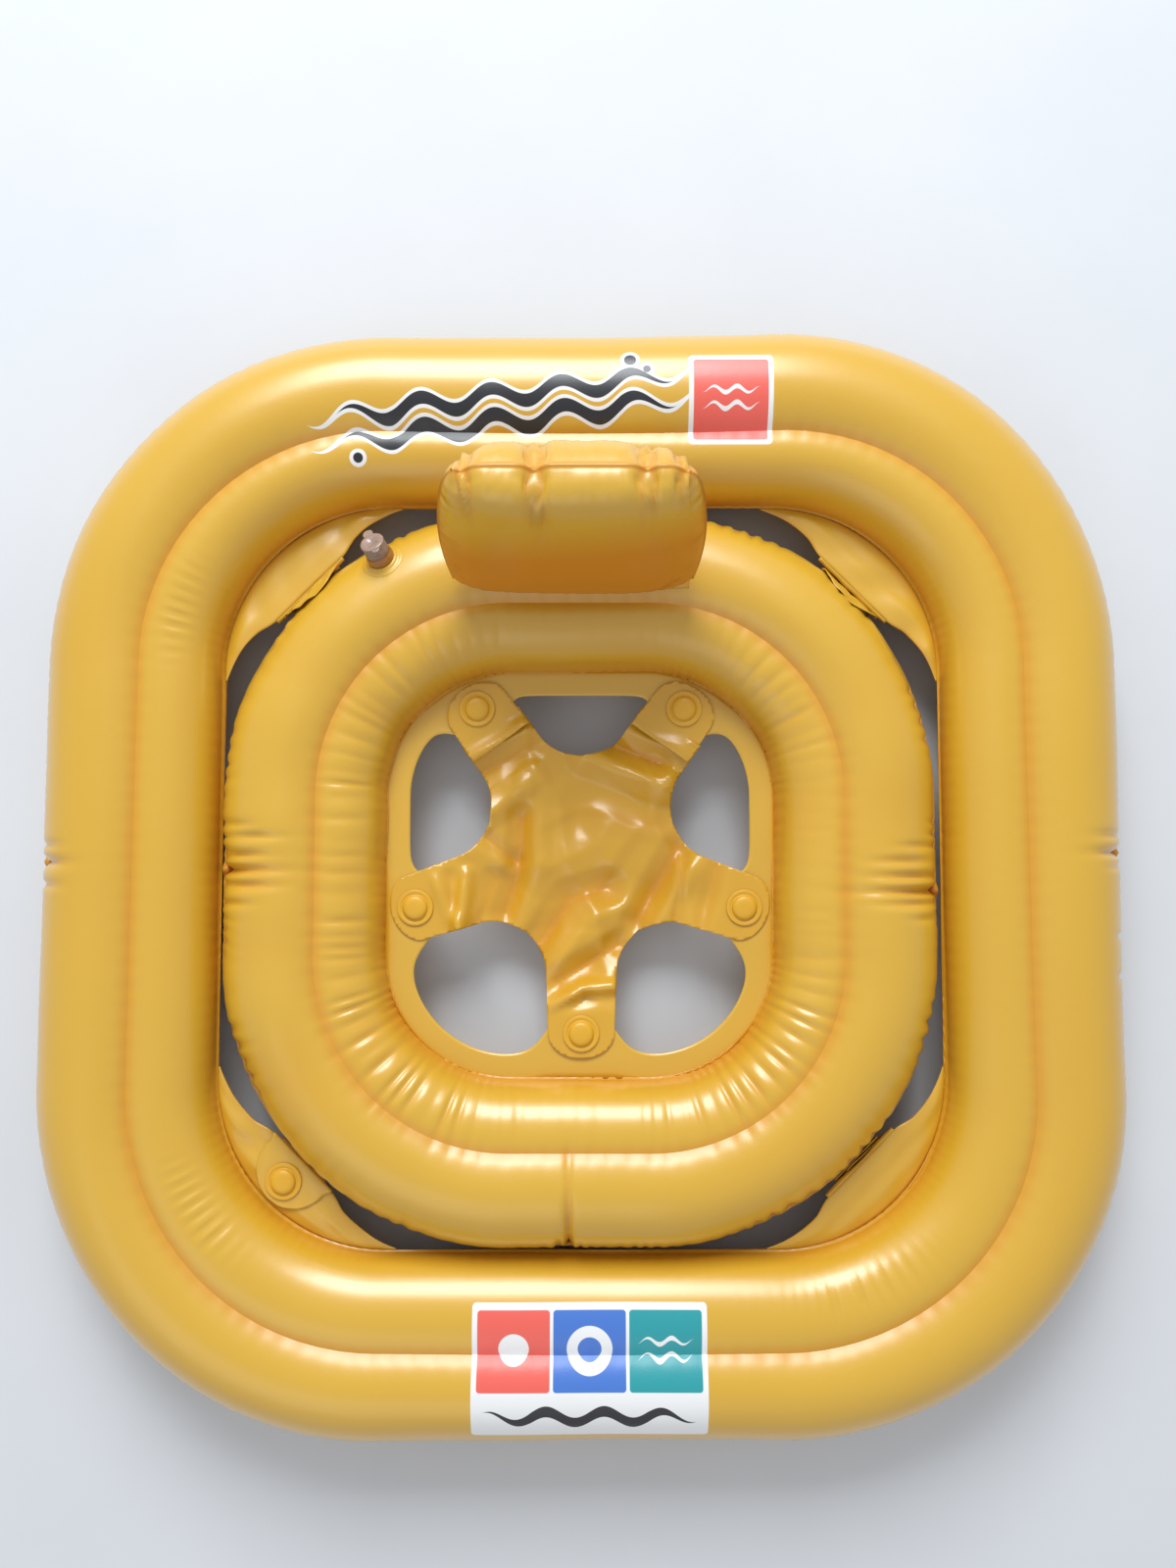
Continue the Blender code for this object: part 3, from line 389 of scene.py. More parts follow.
def ring_film(name, ring, side, stations, wrinkles, outline):
    """The upper (side 1) or lower (side -1) film. wrinkles gives heights and painted shade from (angle, run,
    inset, crease).
    """
    core, turn, run = ring.stations(stations)
    middle = core + np.stack([np.cos(turn), np.sin(turn)], axis=1) * (ring.corner - ring.crease) - ring.shift
    angle = np.degrees(np.arctan2(middle[:, 1], middle[:, 0])) % 360
    inset, height, crease = lobes_of(ring, angle)
    swell = outline(angle)[:, None] * np.clip(1 - inset / ring.tube, 0, 1)
    moved = inset - swell + scallops(ring, run, inset)
    flat = spread(ring, core, turn, moved)
    points = np.concatenate([flat, (MIDDLE + side * height)[:, :, None]], axis=2)
    # fold is the film's painted shade, deepest in its crease, at its welds and in its dents.
    lift, fold = wrinkles(angle[:, None], run[:, None], inset, crease[:, None])
    points += normals_of(points) * lift[:, :, None] * side
    points[:, :, 2] = np.maximum(points[:, :, 2], ABOVE_FLOOR)
    film = sheet_of(name, points, Matrix(), RING_FILM_SHOWN, closed=True, fold=fold, offset=-1, flip=side < 0)
    sharpen(film.data, points.shape[1], OUTER_STEPS + 1)
    return film


def sheet_of(name, points, place, thickness, closed=False, fold=None, offset=0, flip=False):
    """A film over a grid of points, with real thickness, in the frame given. fold is its painted shade."""
    rows, columns = points.shape[:2]
    index = np.arange(rows * columns).reshape(rows, columns)
    following = np.roll(index, -1, axis=0)
    if not closed:
        index, following = index[:-1], following[:-1]
    corners = [index[:, :-1], following[:, :-1], following[:, 1:], index[:, 1:]]
    quads = np.stack(corners, axis=2).reshape(-1, 4)
    mesh = bpy.data.meshes.new(name)
    mesh.from_pydata(points.reshape(-1, 3).tolist(), [], (quads[:, ::-1] if flip else quads).tolist())
    mesh.transform(place)
    mesh.shade_smooth()
    keep_painted_shade(mesh, np.zeros(rows * columns) if fold is None else fold.ravel())
    return thicken(show(name, mesh), thickness, offset)


def keep_painted_shade(mesh, values):
    """Stores each point's painted shade, 0 to 1, as the attribute fold that the film's material reads."""
    attribute = mesh.attributes.new("fold", "FLOAT", "POINT")
    attribute.data.foreach_set("value", np.clip(values, 0, 1).astype(np.float32))


def sharpen(mesh, columns, column):
    """Marks the edges that run along one grid column, so that a crease shades as a crease."""
    ends = np.empty(len(mesh.edges) * 2, np.int32)
    mesh.edges.foreach_get("vertices", ends)
    ends = ends.reshape(-1, 2) % columns
    attribute = mesh.attributes.new("sharp_edge", "BOOLEAN", "EDGE")
    attribute.data.foreach_set("value", (ends == column).all(axis=1))


def thicken(obj, thickness, offset):
    """Makes a drawn surface into a film of real thickness."""
    solidify = obj.modifiers.new("film", "SOLIDIFY")
    solidify.thickness = thickness
    solidify.offset = offset
    return obj


print("a film has", STATIONS["outer"], "stations and", OUTER_STEPS + INNER_STEPS + 3, "steps across")

# %% [markdown]
# The outer ring's folds, as in the photograph: a notch half way up each side, small puckers along the
# seams, short glints on the inner lobe at three corners, and a slow unevenness all round. All corners but
# the left rear one swell a little beyond a plain rounded square.

# %% The outer ring's films
OUTER_SWELLS, SWELL_REACH = {52: 0.004, 322: 0.003, 232: 0.002}, 16
OUTER_WAVES = {"long": 0.0006, "short": 0.0004, "turns": 24}
OUTER_EDGE = {"spacing": 0.0085, "depth": 0.0006, "width": 0.007, "start": 0.001}
OUTER_INNER_EDGE = {"spacing": 0.010, "depth": 0.0004, "width": 0.006, "start": 0.001}
OUTER_CREASE = {"spacing": 0.013, "depth": 0.00035, "width": 0.007}
OUTER_GLINTS = 0.0095
OUTER_SHADES, OUTER_SHADE_PER_METRE = ((0.5, 0.004), (0.5, 0.004), (0.4, 0.003)), 60
# Folds: degrees round the ring, inset, length across, width along the crease, depth.
OUTER_FOLDS = [
    (178.5, 0.006, 0.020, 0.0028, 0.0052), (181.5, 0.010, 0.014, 0.0020, 0.0026),
    (176.5, 0.012, 0.012, 0.0020, 0.0022), (2.5, 0.006, 0.022, 0.0026, 0.0056),
    (4.8, 0.016, 0.014, 0.0022, 0.0022), (0.8, 0.010, 0.012, 0.0018, 0.0018),
    (352.0, 0.004, 0.007, 0.0018, 0.0026), (347.0, 0.004, 0.007, 0.0018, 0.0024),
]
# Streaks: degrees round the ring, reach in degrees, inset, length across, depth.
OUTER_STREAKS = [
    (221, 5, 0.091, 0.009, 0.0036), (303, 8, 0.090, 0.009, 0.0022), (148, 5, 0.092, 0.008, 0.0020),
    (45, 26, 0.006, 0.011, 0.0004), (135, 26, 0.006, 0.011, 0.0004), (225, 26, 0.006, 0.011, 0.0004),
    (315, 26, 0.006, 0.011, 0.0005),
]


def outer_outline(angle):
    """How far the ring swells beyond a plain rounded square."""
    return sum(size * near(around(angle, place), 0, SWELL_REACH) for place, size in OUTER_SWELLS.items())


def outer_wrinkles(seed, folds, streaks):
    def heights(angle, run, inset, crease):
        to_inner, to_crease = OUTER.tube - inset, abs(inset - crease)
        uneven = 0.4 + 0.6 * abs(smooth_noise(run, OUTER.length, seed))
        lift = slow_waves(OUTER, run, seed, to_crease, **OUTER_WAVES)
        lift = lift + puckers(OUTER, run, seed + 2, inset, **OUTER_EDGE) * uneven
        lift = lift + puckers(OUTER, run, seed + 3, to_inner, **OUTER_INNER_EDGE)
        lift = lift + puckers(OUTER, run, seed + 4, to_crease, **OUTER_CREASE)
        for degrees, reach, place, length, depth in streaks:
            streak = puckers(OUTER, run, seed + 5, inset, OUTER_GLINTS, depth, length, place)
            lift = lift + streak * near(around(angle, degrees), 0, reach)
        lift = lift + dents(angle, run, inset, folds)
        # Painted shade in the crease, at both welds, and in the outer lobe's dents and pucker valleys.
        fold = shade((to_crease, to_inner, inset), OUTER_SHADES)
        return lift, fold - OUTER_SHADE_PER_METRE * np.minimum(lift, 0) * (inset < crease)

    return heights


def dress_ring(label, ring, upper, lower, outline):
    """A ring's upper and lower film, in place of its two packed skins."""
    films = []
    for part, node, side, wrinkles in (("upper", "top", 1, upper), ("lower", "bottom", -1, lower)):
        film = ring_film(f"{label}_ring_{part}_film", ring, side, STATIONS[label], wrinkles, outline)
        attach(film, f"{label}_ring")
        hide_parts(f"{label}_ring_{node}_skin")
        films.append(film)
    print(label, "films:", len(films[0].data.polygons), "quads each")
    return films


# The lower film has none of the glints that the photograph shows on the inner lobe.
outer_upper = outer_wrinkles(11, OUTER_FOLDS, OUTER_STREAKS)
outer_lower = outer_wrinkles(31, OUTER_FOLDS, OUTER_STREAKS[3:])
outer_films = dress_ring("outer", OUTER, outer_upper, outer_lower, outer_outline)

# %% [markdown]
# The inner ring is the busier one. Its inner lobe turns through the tightest corners, where the skin
# gathers in long bright ridges side by side. Each side has a fold or two where the ring has bent, and the
# front has one sharp dent that runs from the seam to the crease.

# %% The inner ring's films
INNER_WAVES = {"long": 0.0005, "short": 0.0005, "turns": 22}
INNER_EDGE = {"spacing": INNER.pucker, "depth": 0.0022, "width": 0.009, "start": 0.001}
INNER_INNER_EDGE = {"spacing": 0.0090, "depth": 0.0005, "width": 0.006, "start": 0.001}
INNER_CREASE = {"spacing": 0.013, "depth": 0.0004, "width": 0.007}
RIDGE_SPACING, RIDGE_WANDER, RIDGE_START, RIDGE_WIDTH = 0.0118, 0.0035, INNER.tube - 0.023, 0.015
OUTER_LOBE_SHARE, OUTER_LOBE_START, OUTER_LOBE_WIDTH = 0.35, 0.010, 0.012
INNER_SHADES, INNER_SHADE_PER_METRE = ((0.5, 0.004), (0.6, 0.005), (0.5, 0.003)), 110
INNER_FOLDS = [
    (179.0, 0.010, 0.030, 0.0030, 0.0052), (182.5, 0.022, 0.020, 0.0028, 0.0034),
    (175.5, 0.020, 0.018, 0.0026, 0.0032), (172.0, 0.030, 0.016, 0.0024, 0.0026),
    (186.0, 0.014, 0.014, 0.0022, 0.0022), (169.0, 0.016, 0.012, 0.0022, 0.0018),
    (356.5, 0.012, 0.036, 0.0030, 0.0060), (359.8, 0.024, 0.024, 0.0028, 0.0036),
    (353.5, 0.022, 0.022, 0.0026, 0.0034), (3.0, 0.030, 0.018, 0.0026, 0.0026),
    (6.0, 0.020, 0.014, 0.0022, 0.0018), (350.5, 0.014, 0.012, 0.0022, 0.0018),
    (267.5, 0.010, 0.040, 0.0022, 0.0050), (265.8, 0.006, 0.012, 0.0020, 0.0022),
]
# Corners: degrees round the ring, reach in degrees, depth of the radial ridges.
INNER_CORNERS = [
    (45, 24, 0.0012), (140, 24, 0.0026), (225, 27, 0.0040), (312, 27, 0.0030), (182, 12, 0.0012),
]


def plain_outline(angle):
    return 0 * angle


def inner_wrinkles(seed, folds, corners):
    def heights(angle, run, inset, crease):
        to_inner, to_crease = INNER.tube - inset, abs(inset - crease)
        lift = slow_waves(INNER, run, seed, to_crease, **INNER_WAVES)
        seam = seam_strength(INNER, run, 0.3, 0.1)
        lift = lift + puckers(INNER, run, SCALLOP_SEED, inset, **INNER_EDGE) * seam
        lift = lift + puckers(INNER, run, seed + 3, to_inner, **INNER_INNER_EDGE)
        lift = lift + puckers(INNER, run, seed + 4, to_crease, **INNER_CREASE)
        wander = RIDGE_WANDER * smooth_noise(run, INNER.length, seed + 8, 40)
        uneven = np.clip(0.65 + 0.45 * smooth_noise(run, INNER.length, seed + 6, 60), 0.1, 1.4)
        ridges = (gathers(run + wander, RIDGE_SPACING, INNER.length, seed + 5) - 1) * uneven
        across = near(inset, RIDGE_START, RIDGE_WIDTH)
        across = across + OUTER_LOBE_SHARE * near(inset, OUTER_LOBE_START, OUTER_LOBE_WIDTH)
        for degrees, reach, depth in corners:
            lift = lift + depth * ridges * across * near(around(angle, degrees), 0, reach)
        lift = lift + dents(angle, run, inset, folds)
        # Painted shade in the crease, at both welds, and in every dent and pucker valley.
        fold = shade((to_crease, to_inner, inset), INNER_SHADES)
        return lift, fold - INNER_SHADE_PER_METRE * np.minimum(lift, 0)

    return heights


inner_upper = inner_wrinkles(53, INNER_FOLDS, INNER_CORNERS)
inner_lower = inner_wrinkles(73, INNER_FOLDS[:7], INNER_CORNERS)
inner_films = dress_ring("inner", INNER, inner_upper, inner_lower, plain_outline)

# %% [markdown]
# The film is thick coloured vinyl: opaque, satin rather than glossy, with a clear sheen where the window's
# light grazes it. Its colour is painted deeper and more orange where shade falls, in the creases, at the
# welds and on faces turned from the light: painted shade, for the light that bounces there from yellow to
# yellow. The pigment also varies slightly. A fine orange-peel bump keeps the highlights from looking like
# glass.

# %% The vinyl's material
VINYL = (0.620, 0.348, 0.017, 1)
# The deeper orange that the painted shade mixes into the film's colour.
VINYL_PAINTED_SHADE = (0.62, 0.200, 0.004, 1)
VINYL_PALE = (0.650, 0.378, 0.028, 1)


def vinyl(name, roughness=0.38, peel=0.00005, gloss=0.9):
    material, board, shader = new_material(name, Specular_IOR_Level=0.5, IOR=1.5, Coat_Roughness=0.25)
    # The attribute fold holds each point's painted shade: there the colour goes deeper, the film rougher and
    # its coat thinner.
    fold = board.painted("fold").held()
    cloudy = board.noise(9, 3, 0.55)
    body = board.mix(cloudy, VINYL_PALE, VINYL)
    connect(
        board, shader,
        Base_Color=board.mix(fold * 0.85, body, VINYL_PAINTED_SHADE),
        Roughness=roughness + 0.10 * (board.noise(40, 3) - 0.5) + 0.12 * fold,
        Coat_Weight=gloss * (1.0 - 0.8 * fold),
        Normal=relief(board, board.noise(900, 2) + 2.0 * board.noise(130, 2), peel),
    )
    return material


film_vinyl = vinyl("yellow_vinyl")
sling_vinyl = vinyl("sling_vinyl", 0.27, 0.00003, 0.6)


def coat(obj, material):
    """Gives a piece its material, in a slot of its own."""
    obj.data.materials.append(material)


def finish_film(obj, body, *nodes, material=film_vinyl):
    """A piece of film: its material and slot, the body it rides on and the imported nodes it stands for."""
    coat(obj, material)
    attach(obj, body)
    if nodes:
        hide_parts(*nodes)
    return obj


for film in outer_films + inner_films:
    coat(film, film_vinyl)
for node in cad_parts.values():
    for place in node.material_slots:
        place.material = film_vinyl
print("vinyl on", len(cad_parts), "packed nodes and four films")

# %% [markdown]
# At each corner the outer ring carries a web of film, cut as a crescent, whose tongue holds a
# snap. A strip of film is easiest to steer as stations along its length: how far out, how far up, and how
# wide. Arcs give it its folds. The strip is then refined into a fine grid, and small waves keep it from
# looking like sheet metal.

# %% Strips of folded film
OUTER_OPENING = OUTER.corner - OUTER.tube
TONGUE, WEB_EDGE, TAB = 0.025, 0.031, 0.020
SNAP_OUT, TAB_END = 0.0150, 0.030
UNDER_EDGE, UNDER_RADIUS, UNDER_TURN, UNDER_DROP = -0.0010, 0.0016, 0.0260, 0.0102
UNDER_LIFT, OVER_RADIUS, OVER_LIFT, OVER_EDGE = 0.003, 0.0012, 0.0006, -0.0014
WEB_REACH, WEB_ROWS, WEB_NARROW = 0.0835, 15, 0.012
WEB_SET_BACK, WEB_SHOULDER = 0.0022, 0.016
CRESCENT_DEPTH, CRESCENT_START, CRESCENT_LENGTH = 0.0085, 0.048, 0.036
WEB_BULGE, WEB_EDGE_DROP = 0.0012, 0.0007
STRIP_STEP, CALM_FADE = 0.0025, 0.006
FILM_SHOWN = 0.0006
ACROSS = 28


def corner_frame(signs):
    """A frame at the middle of the chord under a corner of the outer opening, with X pointing outwards."""
    place = np.array(signs) * (OUTER.half - OUTER.corner + OUTER_OPENING / 2)
    turn = math.atan2(signs[1], signs[0])
    return Matrix.Translation((*place, MIDDLE)) @ Matrix.Rotation(turn, 4, "Z")


def inner_weld_out(signs, frame_of_corner):
    """How far out the inner ring's outer weld lies in a corner's frame."""
    reach = INNER.corner / math.sqrt(2)
    place = INNER.shift + np.array(signs) * (INNER.half - INNER.corner + reach)
    return (frame_of_corner.inverted() @ Vector((*place, MIDDLE))).x


def bow(out, up, radius, start, end, half_width, steps=10):
    """Stations round a fold, with angles measured from outwards towards up."""
    angles = np.radians(np.linspace(start, end, steps + 1))
    return [(out + radius * math.cos(a), up + radius * math.sin(a), half_width) for a in angles]


def rounded(path, radius):
    """Stations along a path whose width closes in a half circle at its end."""
    path = refine([(*point, 0) for point in path], 0.0012)
    steps = [math.dist(a[:2], b[:2]) for a, b in zip(path, path[1:])]
    left = np.concatenate([np.cumsum(steps[::-1])[::-1], [0]])
    share = np.clip(left / radius, 0, 1)
    widths = radius * np.sqrt(np.clip(1 - (1 - share) ** 2, 0, 1))
    return [(out, up, max(width, 0.0004)) for (out, up, _), width in zip(path, widths)]


def refine(stations, longest):
    """The same stations with more between them, none further apart than this."""
    found = [stations[0]]
    for before, after in zip(stations, stations[1:]):
        count = max(math.ceil(math.dist(before, after) / longest), 1)
        for step in range(1, count + 1):
            found.append(tuple(a + (b - a) * step / count for a, b in zip(before, after)))
    return found


def corner_web(name, frame_of_web, edge, half_width, lift, seed):
    """The web's flat part, from its weld on the opening to a free edge, straight where the tongue turns."""
    radius = OUTER_OPENING - CLEARANCE
    chord = radius / math.sqrt(2)
    across = np.linspace(-WEB_REACH, WEB_REACH, 5 * ACROSS + 1)
    off = abs(across)
    weld = np.where(off < chord, np.sqrt(np.maximum(radius**2 - across**2, 0)) - chord, chord - off)
    past = np.clip((off - half_width) / WEB_SHOULDER, 0, 1)
    step = past**2 * (3 - 2 * past)
    set_back = WEB_SET_BACK - CRESCENT_DEPTH * np.clip((off - CRESCENT_START) / CRESCENT_LENGTH, 0, 1) ** 2
    free = np.minimum(edge + (set_back - edge) * step, weld)
    share = np.linspace(0, 1, WEB_ROWS)[:, None]
    out = weld + (free - weld) * share
    waves = 0.0009 * smooth_noise(across[None, :] + 0.6 * out, 0.17, seed, 6)
    waves = waves + 0.0005 * smooth_noise(2 * out, 0.11, seed + 1, 5)
    width = np.clip((weld - free) / WEB_NARROW, 0, 1)
    up = lift * share * width + (waves + WEB_BULGE) * np.sin(math.pi * share) * width
    up = up + (waves - WEB_EDGE_DROP) * step * share**6 * width
    # Painted shade along the weld, and at the free edge beside the tongue.
    fold = (0.55 * near(share, 0, 0.16) + 0.25 * step * share**8) * np.ones_like(out)
    points = np.stack([out, np.tile(across, (WEB_ROWS, 1)), up], axis=2)
    return sheet_of(name, points, frame_of_web, FILM_SHOWN, fold=fold, flip=True)


def strip(name, stations, frame_of_strip, seed, wave, calm=()):
    """A folded film from its stations. calm lists (out, up, radius) where it stays flat, as under a snap."""
    path = np.array(refine(stations, STRIP_STEP))
    run = np.concatenate([[0], np.cumsum(np.hypot(*np.diff(path[:, :2], axis=0).T))])
    tangent = np.gradient(path[:, :2], axis=0)
    tangent /= np.maximum(np.linalg.norm(tangent, axis=1, keepdims=True), 1e-9)
    across = path[:, 2][:, None] * np.linspace(-1, 1, ACROSS + 1)
    lift = wave * smooth_noise(run[:, None] + 0.7 * across, 0.15, seed, 7)
    lift += 0.6 * wave * smooth_noise(run[:, None] - 1.3 * across, 0.11, seed + 1, 6)
    lift *= np.clip(run / CALM_FADE, 0, 1)[:, None]
    for out, up, radius in calm:
        away = np.sqrt((path[:, 0] - out)[:, None] ** 2 + (path[:, 1] - up)[:, None] ** 2 + across**2)
        lift *= np.clip((away - radius) / CALM_FADE, 0, 1)
    out = path[:, :1] - tangent[:, 1:] * lift
    up = path[:, 1:2] + tangent[:, :1] * lift
    return sheet_of(name, np.stack([out, across, up], axis=2), frame_of_strip, FILM_SHOWN)


print("a web spans", round(2000 * OUTER_OPENING / math.sqrt(2)), "mm")

# %% [markdown]
# Three of the corners have the tongue tucked under in a Z, so that only a rolled edge shows, and at the two
# rear ones its rounded end climbs onto the inner ring. At the left front corner the tongue lies folded back
# on top, with its cap in view. Under each lies a tab of the inner ring that carries the stud.

# %% The corner webs and tabs
CORNERS = {"rear_right": (1, 1), "rear_left": (-1, 1), "front_left": (-1, -1), "front_right": (1, -1)}
CALM_UNDER_CAP = 0.013
CLIMB = np.arange(4, 41, 3)
CAPS_UP = {}


def tucked_tongue(weld_out, climbs):
    """A tongue that turns under the web and back out in a Z, and may climb the inner ring with its end."""
    fold_up = UNDER_LIFT - UNDER_RADIUS
    stations = bow(UNDER_EDGE, fold_up, UNDER_RADIUS, 90, 270, WEB_EDGE)
    snap_up = -UNDER_DROP + FILM + 2 * CLEARANCE
    turn_top = fold_up - UNDER_RADIUS - FILM
    stations.append((UNDER_EDGE + 0.003, turn_top, TONGUE))
    stations += bow(UNDER_TURN, (turn_top + snap_up) / 2, (turn_top - snap_up) / 2, 90, -90, TONGUE * 0.78)
    near_tab = weld_out + 2.5 * FILM + 2 * CLEARANCE
    tail = [(SNAP_OUT + 0.004, snap_up), (SNAP_OUT - 0.006, snap_up), (near_tab + 0.0034, snap_up)]
    tail += [(near_tab + past, snap_up * share) for past, share in ((0.0014, 0.84), (0.0006, 0.6), (0, 0.25))]
    track = INNER.lobes[0] + 2.6 * FILM
    for angle in np.radians(CLIMB if climbs else [3]):
        tail.append((weld_out - WELD_LIP - INNER.lobes[0] + track * math.cos(angle), track * math.sin(angle)))
    return stations + rounded(tail, TONGUE)


def folded_back_tongue():
    """A tongue that lies back on top of its web."""
    stations = bow(OVER_EDGE, OVER_LIFT + OVER_RADIUS, OVER_RADIUS, 270, 90, TONGUE + 0.002)
    top = OVER_LIFT + 2 * OVER_RADIUS
    return stations + rounded([(0.003, top), (0.030, top)], TONGUE)


def tab_stations(weld_out, tab_up, over):
    """The inner ring's tab, bent up or down from the weld to its stud, with a round end."""
    start = weld_out + 2 * CLEARANCE
    found = [(start, 0.0, TAB)]
    bend = ((0.002, 1.0),) if over else ((0.0009, 0.2), (0.0016, 0.75), (0.0032, 1.0))
    found += [(start + past, tab_up * share, TAB) for past, share in bend]
    for share in np.sin(np.radians(np.linspace(0, 88, 9))):
        found.append((SNAP_OUT + (TAB_END - SNAP_OUT) * share, tab_up, TAB * math.sqrt(1 - share * share)))
    return found


def dress_corner(label, signs, seed):
    place = corner_frame(signs)
    weld_out = inner_weld_out(signs, place)
    over = label == "front_left"
    if over:
        web = corner_web(f"{label}_corner_web", place, OVER_EDGE, TONGUE + 0.003, OVER_LIFT, seed)
        stations, cap_up = folded_back_tongue(), OVER_LIFT + 2 * OVER_RADIUS
        tab_up = OVER_LIFT - FILM - 2 * CLEARANCE
    else:
        web = corner_web(f"{label}_corner_web", place, UNDER_EDGE, WEB_EDGE, UNDER_LIFT, seed)
        stations, tab_up = tucked_tongue(weld_out, label.startswith("rear")), -UNDER_DROP
        cap_up = tab_up + FILM + 2 * CLEARANCE
    calm = [(SNAP_OUT, cap_up, CALM_UNDER_CAP)] if over else []
    tongue = strip(f"{label}_corner_tongue", stations, place, seed + 2, 0.00045 if over else 0.0006, calm)
    tab = strip(f"{label}_corner_tab", tab_stations(weld_out, tab_up, over), place, seed + 5, 0.0)
    CAPS_UP[label] = place @ Matrix.Translation((SNAP_OUT, 0, cap_up))
    finish_film(web, "outer_ring", f"{label}_web")
    finish_film(tongue, "outer_ring")
    finish_film(tab, "inner_ring", f"{label}_tab")
    return web


webs = [dress_corner(label, signs, 90 + 7 * index) for index, (label, signs) in enumerate(CORNERS.items())]
print("webs:", [len(web.data.polygons) for web in webs])

# %% [markdown]
# The snaps are moulded from stiffer vinyl: a flat cap with a rounded rim, a shallow groove, and a low dome
# in the middle. A turned profile gives each cap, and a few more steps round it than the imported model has
# give it its gloss.

# %% The snap caps and studs
CAP_RADIUS, CAP_THICK, DOME_RADIUS, DOME_HEIGHT = 0.0120, 0.0008, 0.0082, 0.0030
ROUND = 72
SMOOTH_UP_TO = math.radians(50)
SNAP_VINYL, SNAP_VINYL_DEEP = (0.72, 0.385, 0.022, 1), (0.62, 0.335, 0.022, 1)


def turned(name, profile, place, rounds=ROUND):
    """A piece turned from an open profile that starts and ends on the axis, given as (radius, height)."""
    bm = bmesh.new()
    rings = []
    for radius, height in profile:
        count = 1 if radius == 0 else rounds
        ring = []
        for step in range(count):
            turn = 2 * math.pi * step / rounds
            ring.append(bm.verts.new((radius * math.cos(turn), radius * math.sin(turn), height)))
        rings.append(ring)
    for lower, upper in zip(rings, rings[1:]):
        for step in range(rounds):
            after = (step + 1) % rounds
            corners = [lower[step % len(lower)], lower[after % len(lower)]]
            corners += [upper[after % len(upper)], upper[step % len(upper)]]
            corners = list(dict.fromkeys(corners))
            if len(corners) > 2:
                bm.faces.new(corners)
    bmesh.ops.recalc_face_normals(bm, faces=bm.faces)
    mesh = bpy.data.meshes.new(name)
    bm.to_mesh(mesh)
    bm.free()
    mesh.transform(place)
    mesh.shade_smooth()
    mesh.set_sharp_from_angle(angle=SMOOTH_UP_TO)
    return show(name, mesh)


def arc(radius, height, bend, start, end, steps=6):
    """Profile points on a small arc, for a rounded edge."""
    angles = np.radians(np.linspace(start, end, steps + 1))
    return [(radius + bend * math.cos(a), height + bend * math.sin(a)) for a in angles]


def cap_profile():
    """A thin disc with a rounded edge, a groove, and a broad low dome."""
    base = FILM / 2 + CLEARANCE
    top = base + CAP_THICK
    profile = [(0.0, base), (CAP_RADIUS - 0.0005, base)]
    profile += arc(CAP_RADIUS - 0.0006, top - 0.0004, 0.0006, -40, 90)
    profile += [(CAP_RADIUS - 0.0018, top + 0.0003), (DOME_RADIUS + 0.0016, top + 0.0002)]
    profile += [(DOME_RADIUS + 0.0009, top - 0.0003), (DOME_RADIUS + 0.0003, top - 0.0002)]
    for turn in np.radians(np.linspace(4, 90, 12)):
        profile.append((DOME_RADIUS * math.cos(turn) ** 0.55, top + DOME_HEIGHT * math.sin(turn) ** 0.9))
    profile[-1] = (0.0, profile[-1][1])
    return profile


def snap_material():
    material, board, shader = new_material("snap_vinyl", Specular_IOR_Level=0.5, Coat_Roughness=0.3)
    connect(
        board, shader,
        Base_Color=board.mix(board.noise(30, 3), SNAP_VINYL_DEEP, SNAP_VINYL),
        Roughness=0.40 + 0.10 * (board.noise(200, 3) - 0.5),
        Normal=relief(board, board.noise(1500, 2), 0.00003),
    )
    return material


snap_vinyl = snap_material()
SEAT_CENTRE = np.array((0.0, 0.013))
SEAT_SNAPS = {
    "rear_right": (0.0690, 0.1095), "rear_left": (-0.0700, 0.1095), "left": (-0.1105, -0.0235),
    "front": (0.0, -0.1065), "right": (0.1085, -0.0235),
}
OVER_RIM = FILM + 2 * CLEARANCE


def dress_cap(name, place, body, node):
    cap = turned(name, cap_profile(), place)
    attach(cap, body)
    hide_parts(node)
    coat(cap, snap_vinyl)


for label, place in CAPS_UP.items():
    dress_cap(f"{label}_corner_cap", place, "outer_ring", f"{label}_snap_cap")
for label, (x, y) in SEAT_SNAPS.items():
    place = Matrix.Translation((x, y, MIDDLE + OVER_RIM))
    dress_cap(f"{label}_seat_cap", place, "seat_sling", f"seat_{label}_cap")
for name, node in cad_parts.items():
    if name.endswith("_stud"):
        node.material_slots[0].material = snap_vinyl
print(len(CAPS_UP) + len(SEAT_SNAPS), "caps")

# %% [markdown]
# The seat rim is one flat flange of film, welded all round inside the inner ring. Its opening has five
# lugs, one under each snap. From the seat's centre every point of its edge can be seen, so a ray in each
# direction finds both the weld and the opening, and a fine polar grid between them follows both.

# %% The seat rim
RIM_WIDTH, LUG_HALF, SNAP_TO_LUG_EDGE = 0.0145, 0.024, 0.0128
RIM_STEPS, RIM_TUCK, RIM_SHOWN = 8, 0.0022, 0.0008
LUG_SQUARENESS, WIDEST_TURN = 7, 1.2


def outline_points(ring, inset, count=400):
    core, turn, _ = ring.stations(count)
    return core + np.stack([np.cos(turn), np.sin(turn)], axis=1) * (ring.corner - inset)


def ray_reach(angles, outline):
    """How far a ray from the seat's centre goes in each direction before it meets a closed outline."""
    off = outline - SEAT_CENTRE
    turns = np.arctan2(off[:, 1], off[:, 0]) % (2 * math.pi)
    order = np.argsort(turns)
    return np.interp(angles % (2 * math.pi), turns[order], np.hypot(*off.T)[order], period=2 * math.pi)


